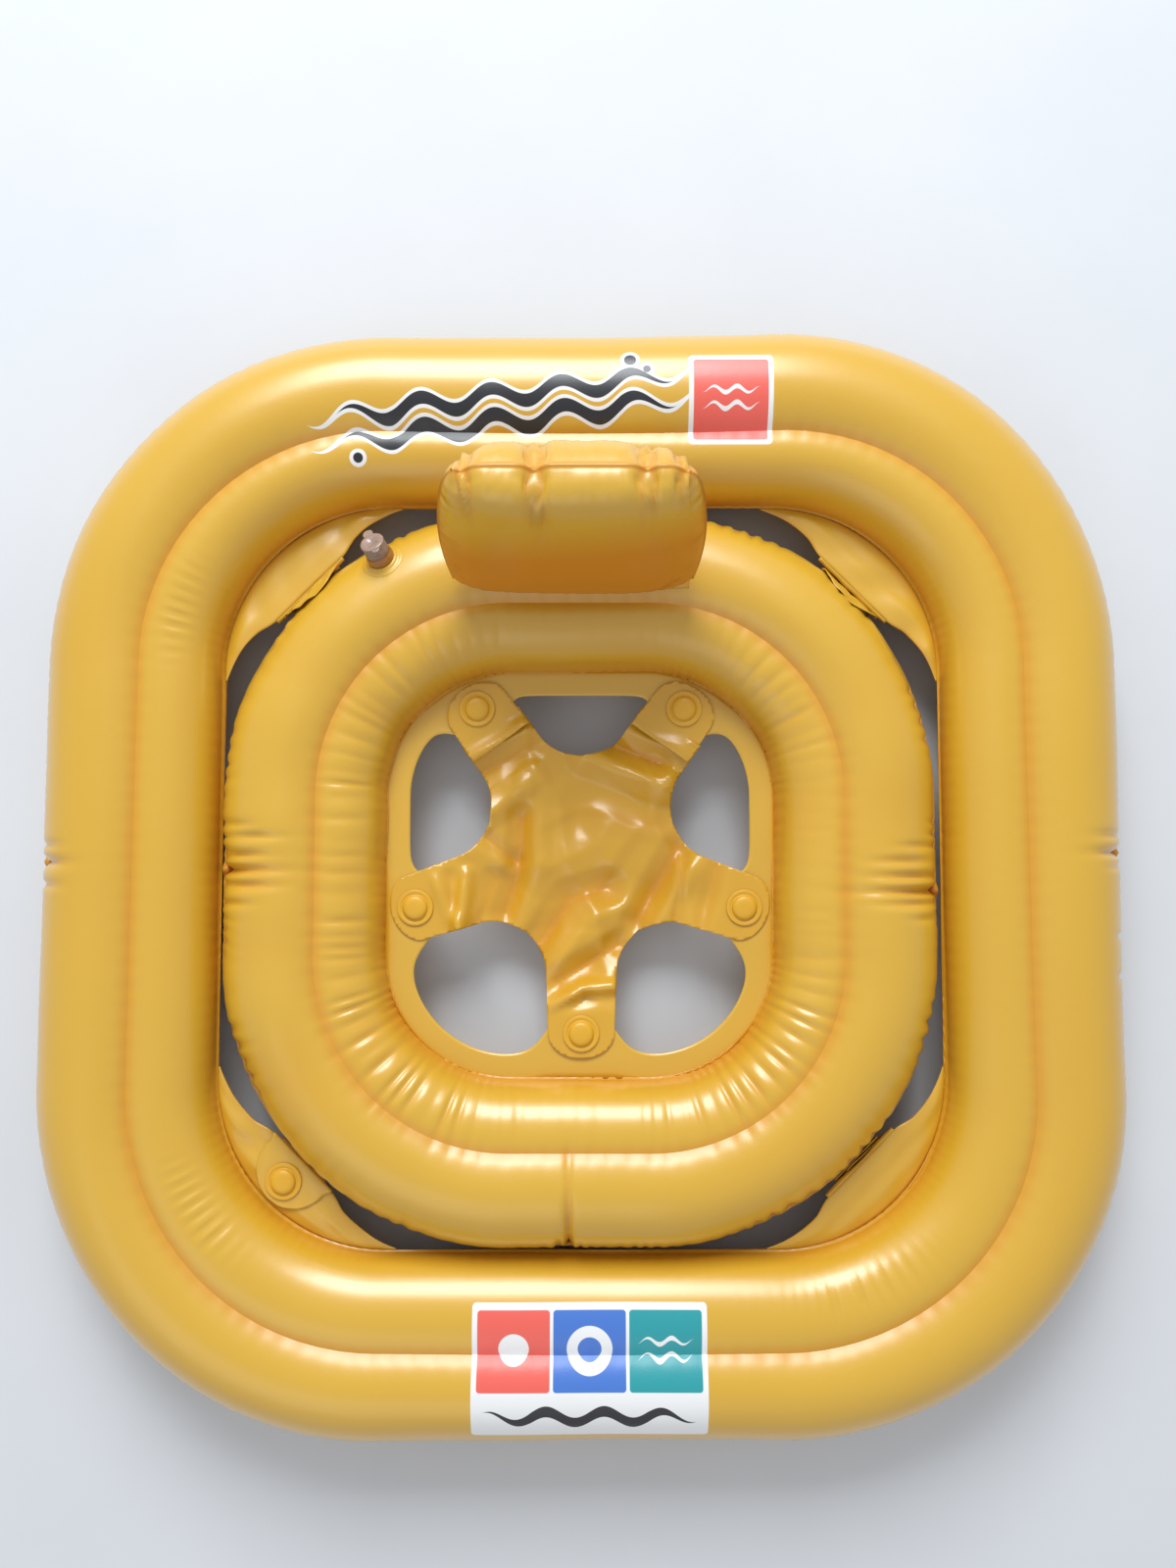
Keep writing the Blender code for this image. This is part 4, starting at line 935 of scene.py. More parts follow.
def lugged(angles, reach):
    """The opening's reach, drawn in at each lug."""
    pulled = reach.copy()
    for x, y in SEAT_SNAPS.values():
        to_snap = np.array((x, y)) - SEAT_CENTRE
        distance = np.hypot(*to_snap)
        off = np.radians(around(np.degrees(angles), math.degrees(math.atan2(to_snap[1], to_snap[0]))))
        across = distance * np.tan(np.clip(off, -WIDEST_TURN, WIDEST_TURN))
        lug = distance - SNAP_TO_LUG_EDGE
        drawn = (reach - lug) / (1 + abs(across / LUG_HALF) ** LUG_SQUARENESS)
        pulled -= np.where((abs(off) < 1) & (lug < reach), drawn, 0)
    return pulled


def make_rim():
    angles = np.radians(np.arange(0, 360, 1.0))
    weld = ray_reach(angles, outline_points(INNER, INNER.tube - RIM_TUCK))
    opening = lugged(angles, ray_reach(angles, outline_points(INNER, INNER.tube + RIM_WIDTH)))
    share = np.linspace(0, 1, RIM_STEPS + 1)
    reach = weld[:, None] + (opening - weld)[:, None] * share
    run = np.degrees(angles)[:, None]
    droop = 0.0003 * smooth_noise(run, 360.0, 201, 14) * np.sin(share * math.pi) ** 0.5
    x = SEAT_CENTRE[0] + reach * np.cos(angles)[:, None]
    y = SEAT_CENTRE[1] + reach * np.sin(angles)[:, None]
    # Painted shade along the weld, under the inner ring's lobe.
    fold = 0.5 * near(share, 0, 0.12) + 0 * reach
    points = np.stack([x, y, MIDDLE + droop], axis=2)
    return sheet_of("seat_rim_film", points, Matrix(), RIM_SHOWN, closed=True, fold=fold, flip=True)


rim = finish_film(make_rim(), "inner_ring", "seat_rim")
print("rim from", [round(value, 3) for value in rim.dimensions])

# %% [markdown]
# The sling is one cut sheet with five arms. It was folded flat in its packet, and it still shows it:
# straight creases, soft valleys between pale ridges, and the two rear arms shortened by a Z fold under
# their snaps. The sheet is cut out flat first, as one polygon that a grid of planes slices into small
# faces. Then each arm is bent along its path, and the creases are pressed in one by one, each as a sharp
# ridge or valley along a line on the film. Two sizes of low, nearly straight ridges go over the whole sheet.

# %% Cutting out the sling
ARM_HALF, ARM_END, ARM_END_HALF, CROTCH, FLARE_END = 0.0235, 0.0165, 0.0220, 0.065, 0.080
SAG = 0.007
FOLD_TO_SNAP, TURN_TO_SNAP, FOLD_RADIUS = 0.027, 0.0152, 0.0012
FOLDED = ("rear_right", "rear_left")
SLING_GRID = 0.0022
SHEET_REACH, FOLD_GRID, ARM_STRIP = 0.17, 0.0011, 0.03


class Arm:
    """One arm of the sling: its direction from the centre and the path that its middle line follows."""

    def __init__(self, label):
        to_snap = np.array(SEAT_SNAPS[label]) - SEAT_CENTRE
        self.label, self.reach = label, float(np.hypot(*to_snap))
        self.along = to_snap / self.reach
        self.across = np.array((-self.along[1], self.along[0]))
        self.turn = math.atan2(self.along[1], self.along[0]) % (2 * math.pi)
        self.root = CROTCH * math.cos(math.radians(36))
        path = np.array(refine(self.path(), 0.0008))
        lengths = np.hypot(*np.diff(path, axis=0).T)
        self.flat = self.root + np.concatenate([[0], np.cumsum(lengths)])
        self.out, self.up = path.T
        self.extra = self.flat[-1] - path[-1, 0]

    def path(self):
        """(out, up) from the root to the end of the arm, up measured from the rim's middle."""
        low, high, r = -SAG * 0.8, OVER_RIM, FOLD_RADIUS
        if self.label not in FOLDED:
            landing = self.reach - 0.016
            steps = [k / 8 for k in range(9)]
            path = [(self.root + (landing - self.root) * k, low + (high - low) * k**1.5) for k in steps]
        else:
            turn, fold = self.reach - TURN_TO_SNAP, self.reach - FOLD_TO_SNAP
            lowest = high - 4 * r - 0.0004
            path = [(self.root, low), (self.root + 0.010, lowest - 0.001), (turn - 0.004, lowest)]
            path += [point[:2] for point in bow(turn, lowest + r, r, -90, 90, 0)]
            path += [point[:2] for point in bow(fold, lowest + 3 * r + 0.0004, r, 270, 90, 0)]
        return path + [(self.reach + ARM_END, high)]

    def outline(self, crotch_before, crotch_after):
        """The arm's flat edge, from one crotch round its end to the other."""
        end = self.reach + ARM_END + self.extra
        sides = []
        for crotch in (crotch_before, crotch_after):
            start, width = crotch @ self.along, abs(crotch @ self.across)
            flare = [(s, ARM_HALF + (width - ARM_HALF) * ((FLARE_END - s) / (FLARE_END - start)) ** 2)
                     for s in np.linspace(start, FLARE_END, 12)]
            straight = FLARE_END + self.extra
            flare += [(s, ARM_HALF + (ARM_END_HALF - ARM_HALF) * (s - straight) / (end - ARM_END - straight))
                      for s in np.linspace(max(straight, FLARE_END + 0.002), end - ARM_END, 6)]
            sides.append(flare)
        round_end = [(end - ARM_END + ARM_END * math.cos(a), ARM_END_HALF * math.sin(a))
                     for a in np.radians(range(-80, 81, 10))]
        points = [(s, -w) for s, w in sides[0]] + round_end + [(s, w) for s, w in sides[1][::-1]]
        return [s * self.along + w * self.across for s, w in points]


def cut_sling():
    arms = sorted((Arm(label) for label in SEAT_SNAPS), key=lambda arm: arm.turn)
    turns = [arm.turn for arm in arms]
    crotches = []
    for turn, following in zip(turns, turns[1:] + [turns[0] + 2 * math.pi]):
        middle = (turn + following) / 2
        crotches.append(CROTCH * np.array((math.cos(middle), math.sin(middle))))
    edge = []
    for index, arm in enumerate(arms):
        edge += arm.outline(crotches[index - 1], crotches[index])[:-1]
    bm = bmesh.new()
    bm.faces.new([bm.verts.new((*point, 0)) for point in edge])
    for axis in ((1, 0, 0), (0, 1, 0)):
        for place in np.arange(-SHEET_REACH, SHEET_REACH, SLING_GRID):
            everything = bm.verts[:] + bm.edges[:] + bm.faces[:]
            at = [place * part for part in axis]
            bmesh.ops.bisect_plane(bm, geom=everything, plane_co=at, plane_no=axis, dist=1e-5)
    for arm in arms:
        if arm.label in FOLDED:
            cut_across(bm, arm)
    bmesh.ops.remove_doubles(bm, verts=bm.verts, dist=0.0001)
    return bm, arms


def cut_across(bm, arm):
    """More lines across a folded arm, close together round its two folds."""
    along, across = Vector(arm.along), Vector(arm.across)
    for length in np.arange(arm.root + 0.012, arm.flat[-1] - ARM_END, FOLD_GRID):
        if abs(np.interp(length, arm.flat, arm.up, 0, 0) - OVER_RIM) <= 0.0002:
            continue
        faces = []
        for face in bm.faces:
            middle = face.calc_center_median().to_2d()
            if middle.dot(along) > arm.root + 0.008 and abs(middle.dot(across)) < ARM_STRIP:
                faces.append(face)
        parts = list(dict.fromkeys(part for face in faces for part in (*face.verts, *face.edges)))
        at, normal = (*(arm.along * length), 0), (*arm.along, 0)
        bmesh.ops.bisect_plane(bm, geom=parts + faces, plane_co=at, plane_no=normal, dist=1e-5)


sling_sheet, sling_arms = cut_sling()
print("flat sling:", len(sling_sheet.faces), "faces")

# %% Bending and creasing the sling
# SLING_SHADE is a little painted shade over the whole sling; a valley FULL_SHADE deep, in metres, paints full
# shade.
CREASE_REACH, SLING_SHADE, FULL_SHADE = 2.3, 0.16, 0.008
# Two sizes of packing creases: how high, how far apart, and the seed.
CRUMPLES, CRUMPLE_MIDDLE = ((0.0085, 0.074, 311), (0.0004, 0.030, 331)), 0.35
CRUMPLE_TURNS = ((0.35, 0.4), (1.45, 1.9), (2.5, 0.9))
ARM_REGION, CALM_START, CALM_LENGTH = 0.0385, 0.013, 0.012
# Single creases: height, or depth below 0, then width, then the points of a line from the float's middle.
SLING_CREASES = [
    (0.0036, 0.0060, (0.002, 0.0775), (0.056, 0.0565)),
    (-0.0030, 0.0048, (0.012, 0.092), (0.052, 0.0735)),
    (0.0015, 0.0035, (0.049, 0.072), (0.059, 0.064)),
    (-0.0032, 0.0052, (-0.040, 0.036), (-0.041, 0.004), (-0.051, -0.028)),
    (0.0016, 0.0060, (-0.033, 0.062), (-0.032, 0.006), (-0.042, -0.030)),
    (0.0024, 0.0050, (-0.066, 0.0355), (-0.041, 0.0565)),
    (-0.0018, 0.0035, (-0.064, 0.023), (-0.045, 0.007)),
    (-0.0034, 0.0070, (-0.032, -0.058), (-0.008, -0.019), (0.017, -0.0105)),
    (0.0020, 0.0080, (-0.014, -0.060), (0.010, -0.028), (0.030, -0.022)),
    (0.0022, 0.0100, (-0.020, 0.004), (0.010, 0.018), (0.018, 0.030)),
    (-0.0036, 0.0058, (0.0375, -0.033), (0.066, 0.016)),
    (0.0016, 0.0050, (0.050, -0.034), (0.072, 0.003)),
    (-0.0012, 0.0018, (0.063, -0.032), (0.070, 0.011)),
    (-0.0018, 0.0042, (0.082, -0.038), (0.092, 0.004)),
    (0.0030, 0.0028, (-0.024, -0.0925), (0.001, -0.077), (0.0204, -0.0755)),
    (-0.0020, 0.0040, (-0.024, -0.106), (0.003, -0.084)),
    (-0.0030, 0.0055, (-0.016, -0.0735), (0.0256, -0.049)),
    (0.0020, 0.0030, (-0.076, -0.001), (-0.0815, -0.038)),
    (0.0014, 0.0030, (-0.099, -0.007), (-0.0815, -0.038)),
    (-0.0016, 0.0035, (-0.088, -0.004), (-0.086, -0.024)),
    (-0.0018, 0.0045, (-0.058, -0.004), (-0.073, -0.044)),
    (-0.0020, 0.0050, (-0.078, 0.062), (-0.034, 0.084)),
    (0.0022, 0.0055, (-0.082, 0.073), (-0.038, 0.094)),
    (-0.0012, 0.0080, (0.000, 0.040), (0.060, 0.030)),
]


def distance_to_line(points, line):
    """Distance of each point to a line through several points."""
    nearest = np.full(len(points), np.inf)
    for start, end in zip(line, line[1:]):
        start, leg = np.array(start), np.array(end) - np.array(start)
        share = np.clip((points - start) @ leg / (leg @ leg), 0, 1)
        nearest = np.minimum(nearest, np.hypot(*(points - start - share[:, None] * leg).T))
    return nearest


def crumpled(points, spacing, seed):
    """Low sharp ridges in three directions, bent by slow waves, as on a film that was packed flat. 0 to 1."""
    total = np.zeros(len(points))
    for turn, phase in CRUMPLE_TURNS:
        run = points @ np.array((math.cos(turn), math.sin(turn)))
        side = points @ np.array((-math.sin(turn), math.cos(turn)))
        bends = 0.45 * smooth_noise(side, 0.3, seed, 6) + 0.6 * smooth_noise(run, 0.3, seed + 1, 6)
        total += 1 - abs(np.sin(run / spacing * math.pi + bends + phase))
        seed += 2
    return total / len(CRUMPLE_TURNS)


def bend_sling(points, arms):
    """World places of the flat sheet's points: arms bent along their paths, the middle sagging."""
    placed = np.concatenate([points + SEAT_CENTRE, np.zeros((len(points), 1))], axis=1)
    calm = np.ones(len(points))
    height = np.full(len(points), -SAG * 0.8)
    radial = np.hypot(*points.T)
    height -= SAG * 0.2 * np.clip(1 - (radial / CROTCH) ** 2, 0, 1)
    for arm in arms:
        along, across = points @ arm.along, points @ arm.across
        on_arm = (along > arm.root) & (abs(across) < ARM_REGION)
        off = np.radians(around(np.degrees(np.arctan2(points[:, 1], points[:, 0])), math.degrees(arm.turn)))
        on_arm &= abs(off) < math.radians(36)
        out = np.interp(along[on_arm], arm.flat, arm.out)
        placed[on_arm, :2] = SEAT_CENTRE + out[:, None] * arm.along + across[on_arm][:, None] * arm.across
        height[on_arm] = np.interp(along[on_arm], arm.flat, arm.up)
        past = along[on_arm] - (arm.reach + arm.extra)
        calm[on_arm] = np.clip((-past - CALM_START) / CALM_LENGTH, 0, 1)
    placed[:, 2] = MIDDLE + height
    return placed, calm


def shape_sling(bm, arms):
    """The sling in its place, and the size and area that its sheet had when it was flat."""
    mesh = bpy.data.meshes.new("sling_film")
    bm.to_mesh(mesh)
    flat_area = sum(face.calc_area() for face in bm.faces)
    bm.free()
    points = np.empty(len(mesh.vertices) * 3)
    mesh.vertices.foreach_get("co", points)
    flat = points.reshape(-1, 3)[:, :2]
    placed, calm = bend_sling(flat, arms)
    # valley gathers painted shade along each valley crease, for the film's colour.
    lift, valley = np.zeros(len(placed)), np.zeros(len(placed))
    for height, width, *line in SLING_CREASES:
        away = distance_to_line(placed[:, :2], line) / width
        shape = np.clip(1 - away / CREASE_REACH, 0, 1)
        lift += CREASE_REACH * height * shape
        valley += max(-height, 0) * (0.5 * shape + 0.9 * np.exp(-2.5 * away))
    for height, spacing, seed in CRUMPLES:
        lift += height * (crumpled(placed[:, :2], spacing, seed) - CRUMPLE_MIDDLE)
    placed[:, 2] += lift * calm
    mesh.vertices.foreach_set("co", placed.ravel())
    keep_painted_shade(mesh, SLING_SHADE + valley * calm / FULL_SHADE)
    mesh.shade_smooth()
    return thicken(show(mesh.name, mesh), FILM_SHOWN, 0), np.ptp(flat, axis=0), flat_area


sling, sling_size, sling_area = shape_sling(sling_sheet, sling_arms)
finish_film(sling, "seat_sling", "seat_sling", material=sling_vinyl)
if sling.data.polygons[0].normal.z < 0:
    sling.data.flip_normals()
print("sling", [round(value, 3) for value in sling.dimensions], "flat area", round(sling_area, 4))

# %% [markdown]
# The backrest is a small pillow of two sheets, welded all round and blown up hard. Its front leans back
# over the ring. Where air pulls on a straight weld the sheet folds inwards, so the top seam shows four
# darts: a narrow ridge between two hollows that runs down the face and fades. The pillow is a crowned grid
# for each side, joined at a thin lip, with those darts and the small gathers of the seam pressed into it.

# %% The backrest
REST_WIDTH, REST_HEIGHT, REST_LEAN, REST_Y = 0.150, 0.1130, 20.5, 0.187
REST_DEPTHS = {-1: 0.022, 1: 0.0300}
REST_WAIST, REST_SHIFT, REST_ROUND = (1.055, -0.040, -0.085), -0.004, 0.055
REST_GRID = ((72, 54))
# Darts at the top seam: place from the middle, length, depth. Each leans a little as it runs down.
REST_DARTS = [
    (-0.0610, 0.034, 0.0066), (-0.0205, 0.048, 0.0090), (0.0425, 0.034, 0.0078),
    (0.0645, 0.028, 0.0056),
]
DART_LEAN, DART_LEAN_REAR = 0.07, -0.3
RIDGE_HIGH, RIDGE_HALF, HOLLOW_DEEP, HOLLOW_HALF = 1.1, 0.0016, 0.8, 0.0046
NOTCH_DEEP, NOTCH_HALF = 0.55, 0.0045
GATHER_SPACING, GATHER_DEEP, REST_PERIOD = 0.0075, 0.0020, 0.15
CORNER_FOLD, CORNER_FOLD_DEEP = [(0.050, 0.006), (0.064, 0.022)], 0.0030
SHADE_HEIGHT, SHADE_SLOPE, SHADE_FADE = 0.086, 0.12, 0.030
HEM_DEPTH, HEM_FRONT, HEM_SHARE, HEM_RISE, HEM_COLUMNS, HEM_ROWS = 0.010, 0.004, 0.94, 0.0004, 40, 8


def top_of_inner_ring(x, y):
    """Height of the inner ring's outer lobe at grids of x and y."""
    core = (INNER.half - INNER.corner)[:, None, None]
    past = np.maximum(abs(np.stack([x, y]) - INNER.shift[:, None, None]) - core, 0)
    inset = INNER.corner - np.hypot(*past)
    return MIDDLE + np.sqrt(INNER.lobes[0] ** 2 - (WELD_LIP + INNER.lobes[0] - inset) ** 2)


def backrest_frame():
    corner = np.array([[REST_WIDTH / 2]]), np.array([[REST_Y]])
    height = float(top_of_inner_ring(*corner)[0, 0]) + 0.0009 + FILM + WELD_LIP + 2 * CLEARANCE
    lean = Matrix.Rotation(math.radians(-REST_LEAN), 4, "X")
    return Matrix.Translation((INNER.shift[0] + REST_SHIFT, REST_Y, height)) @ lean


def spaced(count):
    """Places from -1 to 1, closer together at both ends, and -1 or 1 for each lip point at the ends."""
    inner = np.sin(np.linspace(-math.pi / 2, math.pi / 2, count + 1))
    return np.concatenate([inner[:1], inner, inner[-1:]]), np.array([-1] + [0] * (count + 1) + [1])


def grid_normals(points):
    """Unit normals of an open grid of points."""
    normal = np.cross(np.gradient(points, axis=1), np.gradient(points, axis=0))
    return normal / np.maximum(np.linalg.norm(normal, axis=2, keepdims=True), 1e-12)


def pillow_side(side):
    """(points, painted shade) of the front sheet, side -1, or of the rear sheet, side 1."""
    (across, lip_x), (up, lip_z) = spaced(REST_GRID[0]), spaced(REST_GRID[1])
    across, up = np.meshgrid(across, up)
    lip_x, lip_z = np.meshgrid(lip_x * WELD_LIP, lip_z * WELD_LIP)
    x = REST_WIDTH / 2 * across * (REST_WAIST[0] + REST_WAIST[1] * up + REST_WAIST[2] * up**2)
    x = x * (1 - REST_ROUND * np.clip(up, 0, 1) ** 10)
    z = REST_HEIGHT / 2 * (1 + up * (1 - REST_ROUND * abs(across) ** 8))
    crown = np.sqrt(1 - across**4) * np.sqrt(1 - np.where(up > 0, up**6, up**4))
    drawn = 1 - 0.55 * near(up, -1, 0.35) if side > 0 else 1
    depth = REST_DEPTHS[side] * crown * drawn
    lift, fold, notch = 0 * depth, 0 * depth, 0 * depth
    from_top, from_side = REST_HEIGHT - z, REST_WIDTH / 2 - abs(x)
    for place, length, dip in REST_DARTS:
        lean = DART_LEAN * from_top * (1 if side < 0 else DART_LEAN_REAR)
        away = abs(x - place - lean)
        fade = np.clip(1 - from_top / length, 0, 1) ** 0.8
        hollow = HOLLOW_DEEP * np.exp(-((away / HOLLOW_HALF) ** 1.5))
        lift += fade * dip * (RIDGE_HIGH * near(away, 0, RIDGE_HALF) - hollow)
        # Painted shade in the hollows on either side of each dart's ridge.
        fold += 0.45 * fade * near(away, 0.0028, RIDGE_HALF)
        notch += NOTCH_DEEP * dip * np.exp(-((abs(x - place) / NOTCH_HALF) ** 1.5))
    for run, away, seed in ((x, from_top, 401), (z, from_side, 405), (x, z, 409)):
        crest = gathers(run, GATHER_SPACING, REST_PERIOD, seed + side) - 1
        uneven = 0.4 + 0.6 * abs(smooth_noise(run, REST_PERIOD, seed))
        lift += GATHER_DEEP * crest * near(away, 0.002, 0.0085) * uneven
    lift += 0.0005 * smooth_noise(x + 0.5 * z, REST_PERIOD, 413 + side, 5) * crown
    if side < 0:
        away = distance_to_line(np.stack([x.ravel(), z.ravel()], axis=1), CORNER_FOLD)
        lift -= CORNER_FOLD_DEEP * near(away, 0, RIDGE_HALF).reshape(x.shape)
        # Painted shade over the lower front, which faces away from the window.
        fold += 0.9 * np.clip((SHADE_HEIGHT + SHADE_SLOPE * x - z) / SHADE_FADE, 0, 1)
    z = z - notch * np.clip(up, 0, 1) ** 6
    points = np.stack([x, side * (depth + SEAM_GAP), z], axis=2)
    inner = np.s_[1:-1, 1:-1]
    push = side * lift * np.clip(crown / 0.3, 0, 1)
    points[inner] -= grid_normals(points[inner]) * push[inner][:, :, None]
    points[(lip_x != 0) | (lip_z != 0), 1] = 0
    # Painted shade along the weld round the pillow's edge.
    fold += 0.15 * near(crown, 0, 0.25) + 0.5 * near(crown, 0, 0.05)
    points[:, :, 0] += lip_x
    points[:, :, 2] += lip_z
    return points, fold


def make_pillow(place):
    """Both sheets as one closed pillow, joined along the lip."""
    verts, folds, quads = [], [], []
    for side in (-1, 1):
        points, fold = pillow_side(side)
        rows, columns = fold.shape
        index = np.arange(rows * columns).reshape(rows, columns) + len(verts)
        corners = [index[:-1, :-1], index[:-1, 1:], index[1:, 1:], index[1:, :-1]]
        faces = np.stack(corners, axis=2).reshape(-1, 4)
        quads += (faces if side < 0 else faces[:, ::-1]).tolist()
        verts += points.reshape(-1, 3).tolist()
        folds += fold.ravel().tolist()
    mesh = bpy.data.meshes.new("backrest_pillow")
    mesh.from_pydata(verts, [], quads)
    keep_painted_shade(mesh, np.array(folds))
    bm = bmesh.new()
    bm.from_mesh(mesh)
    bmesh.ops.remove_doubles(bm, verts=bm.verts, dist=0.00001)
    bm.to_mesh(mesh)
    bm.free()
    mesh.transform(place)
    mesh.shade_smooth()
    return show(mesh.name, mesh)


def make_hem():
    """The strip of film under the pillow, welded flat on the inner ring."""
    deep = REST_Y + np.linspace(-HEM_FRONT, HEM_DEPTH - HEM_FRONT, HEM_ROWS + 1)
    wide = INNER.shift[0] + REST_WIDTH * HEM_SHARE * np.linspace(-0.5, 0.5, HEM_COLUMNS + 1)
    x, y = np.meshgrid(wide, deep)
    edge = np.sin(np.linspace(0, math.pi, HEM_ROWS + 1))[:, None] ** 0.5 + 0 * x
    points = np.stack([x, y, top_of_inner_ring(x, y) + HEM_RISE * edge], axis=2)
    # Painted shade down the hem's middle, under the pillow.
    return sheet_of("backrest_hem_film", points, Matrix(), FILM_SHOWN, fold=0.4 * edge, flip=True)


pillow_place = backrest_frame()
pillow = finish_film(make_pillow(pillow_place), "backrest", "backrest_front_sheet", "backrest_rear_sheet")
finish_film(make_hem(), "inner_ring", "backrest_base_hem")
print("pillow", [round(value, 3) for value in pillow.dimensions], len(pillow.data.polygons), "faces")

# %% [markdown]
# Each chamber has a valve of clear soft vinyl: a stem that folds in or pops out of a welded flange on a
# thin skirt, and a plug on a strap. The plug carries two round ears to grip it by, and a dimple in the
# middle. Clear soft vinyl is never quite clear: it looks milky and slightly pink, and the yellow film
# shines through its foot.

# %% The valves
PUSH = 0.010
STEM_TOP, STEM_BOTTOM, STEM_RADIUS, STEM_BORE, STEM_FOOT = 0.0147, -0.0078, 0.0078, 0.0041, 0.0094
COLLAR_LOW, COLLAR_HIGH, COLLAR_PROUD = 0.0092, 0.0104, 0.0003
FLANGE_RADIUS, FLANGE_TOP = 0.0140, 0.0010
PLUG_RADIUS, PLUG_THICK, PLUG_EDGE, DIMPLE_RADIUS, DIMPLE_DEEP = 0.0080, 0.0022, 0.0009, 0.0024, 0.0010
STRAP_HALF, STRAP_THICK, STRAP_LOW, STRAP_RISE, STRAP_BOW = 0.0022, 0.0009, 0.0024, 0.0022, 0.0012
EAR_RADIUS, EAR_OUT, HINGE_EAR_RADIUS, HINGE_EAR_OUT = 0.0034, 0.0018, 0.0026, 0.0002
PLUG_ROUNDS, EAR_ROUNDS = 48, 28


def ring_valve_frame(ring, degrees, inset, side):
    """A frame on a ring's outer lobe at a corner: origin on the film, Z out of it, X along its slope."""
    angle = math.radians(degrees)
    outwards = Vector((math.cos(angle), math.sin(angle), 0))
    lean = (WELD_LIP + ring.lobes[0] - inset) / ring.lobes[0]
    rise = math.sqrt(1 - lean * lean)
    core = ring.shift + np.sign([outwards.x, outwards.y]) * (ring.half - ring.corner)
    origin = Vector((*core, MIDDLE + side * ring.lobes[0] * rise)) + outwards * (ring.corner - inset)
    z_axis = (outwards * lean + Vector((0, 0, side * rise))).normalized()
    y_axis = z_axis.cross(outwards).normalized()
    matrix = Matrix((y_axis.cross(z_axis), y_axis, z_axis)).transposed().to_4x4()
    matrix.translation = origin
    return matrix


def clear_vinyl(name, tint, clearness):
    """Soft vinyl that lets this share of the light through, with paler clouds in its tint."""
    pale = (*(min(part * 1.18, 1) for part in tint[:3]), 1)
    material, board, shader = new_material(
        name, Transmission_Weight=clearness, IOR=1.45, Coat_Weight=0.3, Coat_Roughness=0.15,
        Specular_IOR_Level=0.6,
    )
    connect(
        board, shader,
        Base_Color=board.mix(board.noise(180, 3), tint, pale),
        Roughness=0.22 + 0.16 * board.noise(400, 2),
        Normal=relief(board, board.noise(700, 2), 0.00004),
    )
    return material


valve_clear = clear_vinyl("clear_valve_vinyl", (0.58, 0.42, 0.34, 1), 0.6)
skirt_clear = clear_vinyl("amber_skirt_vinyl", (0.42, 0.17, 0.03, 1), 0.15)


def turned_wall(name, profile, place, bend=None):
    """A turned ring from a closed profile that never meets the axis. bend takes x and y and gives a drop."""
    angles = np.linspace(0, 2 * math.pi, ROUND, endpoint=False)
    radius, height = np.array(profile + profile[:1]).T
    x, y = np.outer(np.cos(angles), radius), np.outer(np.sin(angles), radius)
    points = np.stack([x, y, np.tile(height, (ROUND, 1))], axis=2)
    if bend:
        points[:, :, 2] -= bend(points[:, :, 0], points[:, :, 1])
    obj = sheet_of(name, points, place, 0, closed=True)
    obj.modifiers.clear()
    bm = bmesh.new()
    bm.from_mesh(obj.data)
    bmesh.ops.remove_doubles(bm, verts=bm.verts, dist=1e-6)
    bmesh.ops.recalc_face_normals(bm, faces=bm.faces)
    bm.to_mesh(obj.data)
    bm.free()
    obj.data.shade_smooth()
    obj.data.set_sharp_from_angle(angle=SMOOTH_UP_TO)
    return obj


def flange_profile():
    """A flat ring of film with a thicker lip round the hole."""
    rim = [(0.0084, 0.0002), (FLANGE_RADIUS, 0.0002), (FLANGE_RADIUS, 0.0006)]
    rim += [(FLANGE_RADIUS - 0.0006, FLANGE_TOP + 0.0001), (FLANGE_RADIUS - 0.0016, FLANGE_TOP)]
    return rim + [(0.0114, 0.0009), (0.0106, 0.0014), (0.0100, 0.0022), (0.0093, 0.0024), (0.0086, 0.0020)]


def stem_profile():
    """A tube with a wide foot, a low collar near its top, and a bore."""
    collar = STEM_RADIUS + COLLAR_PROUD
    foot = [(STEM_BORE, STEM_BOTTOM), (STEM_FOOT, STEM_BOTTOM), (STEM_FOOT, -0.0042), (STEM_RADIUS, -0.0040)]
    neck = [(STEM_RADIUS, COLLAR_LOW - 0.0006), (collar, COLLAR_LOW), (collar, COLLAR_HIGH)]
    neck += [(STEM_RADIUS - 0.0001, COLLAR_HIGH + 0.0006), (0.0077, STEM_TOP - 0.0005), (0.0072, STEM_TOP)]
    return foot + neck + [(STEM_BORE + 0.0005, STEM_TOP), (STEM_BORE, STEM_TOP - 0.0006)]


SKIRT_PROFILE = [
    (0.0081, 0.0004), (0.0084, 0.0004), (0.0090, 0.0030),
    (0.0089, 0.0052), (0.0081, 0.0070), (0.0079, 0.0070),
]


def plug_profile():
    """A peg below, a rounded disc, and a shallow dimple on top."""
    thick = PLUG_THICK
    profile = [(0.0, -0.0040), (0.0026, -0.0040), (0.0035, -0.0002), (PLUG_RADIUS - 0.0004, 0.0)]
    profile += arc(PLUG_RADIUS - PLUG_EDGE, thick / 2, PLUG_EDGE, -60, 70)
    profile += [(0.0052, thick), (0.0046, thick - 0.0004), (0.0030, thick - 0.0003)]
    return profile + [(DIMPLE_RADIUS, thick - 0.0009), (0.0, thick - DIMPLE_DEEP)]


def strap(name, place):
    """The thin strap from the stem's neck up to the plug, outside the stem."""
    points = []
    for share in np.linspace(0, 1, 12):
        out = -STEM_RADIUS - 0.0003 - STRAP_BOW * math.sin(math.pi * share)
        up = STEM_TOP - STRAP_LOW + STRAP_RISE * share
        points.append([(out, side * STRAP_HALF, up) for side in (-1, -0.5, 0, 0.5, 1)])
    return sheet_of(name, np.array(points), place, STRAP_THICK)


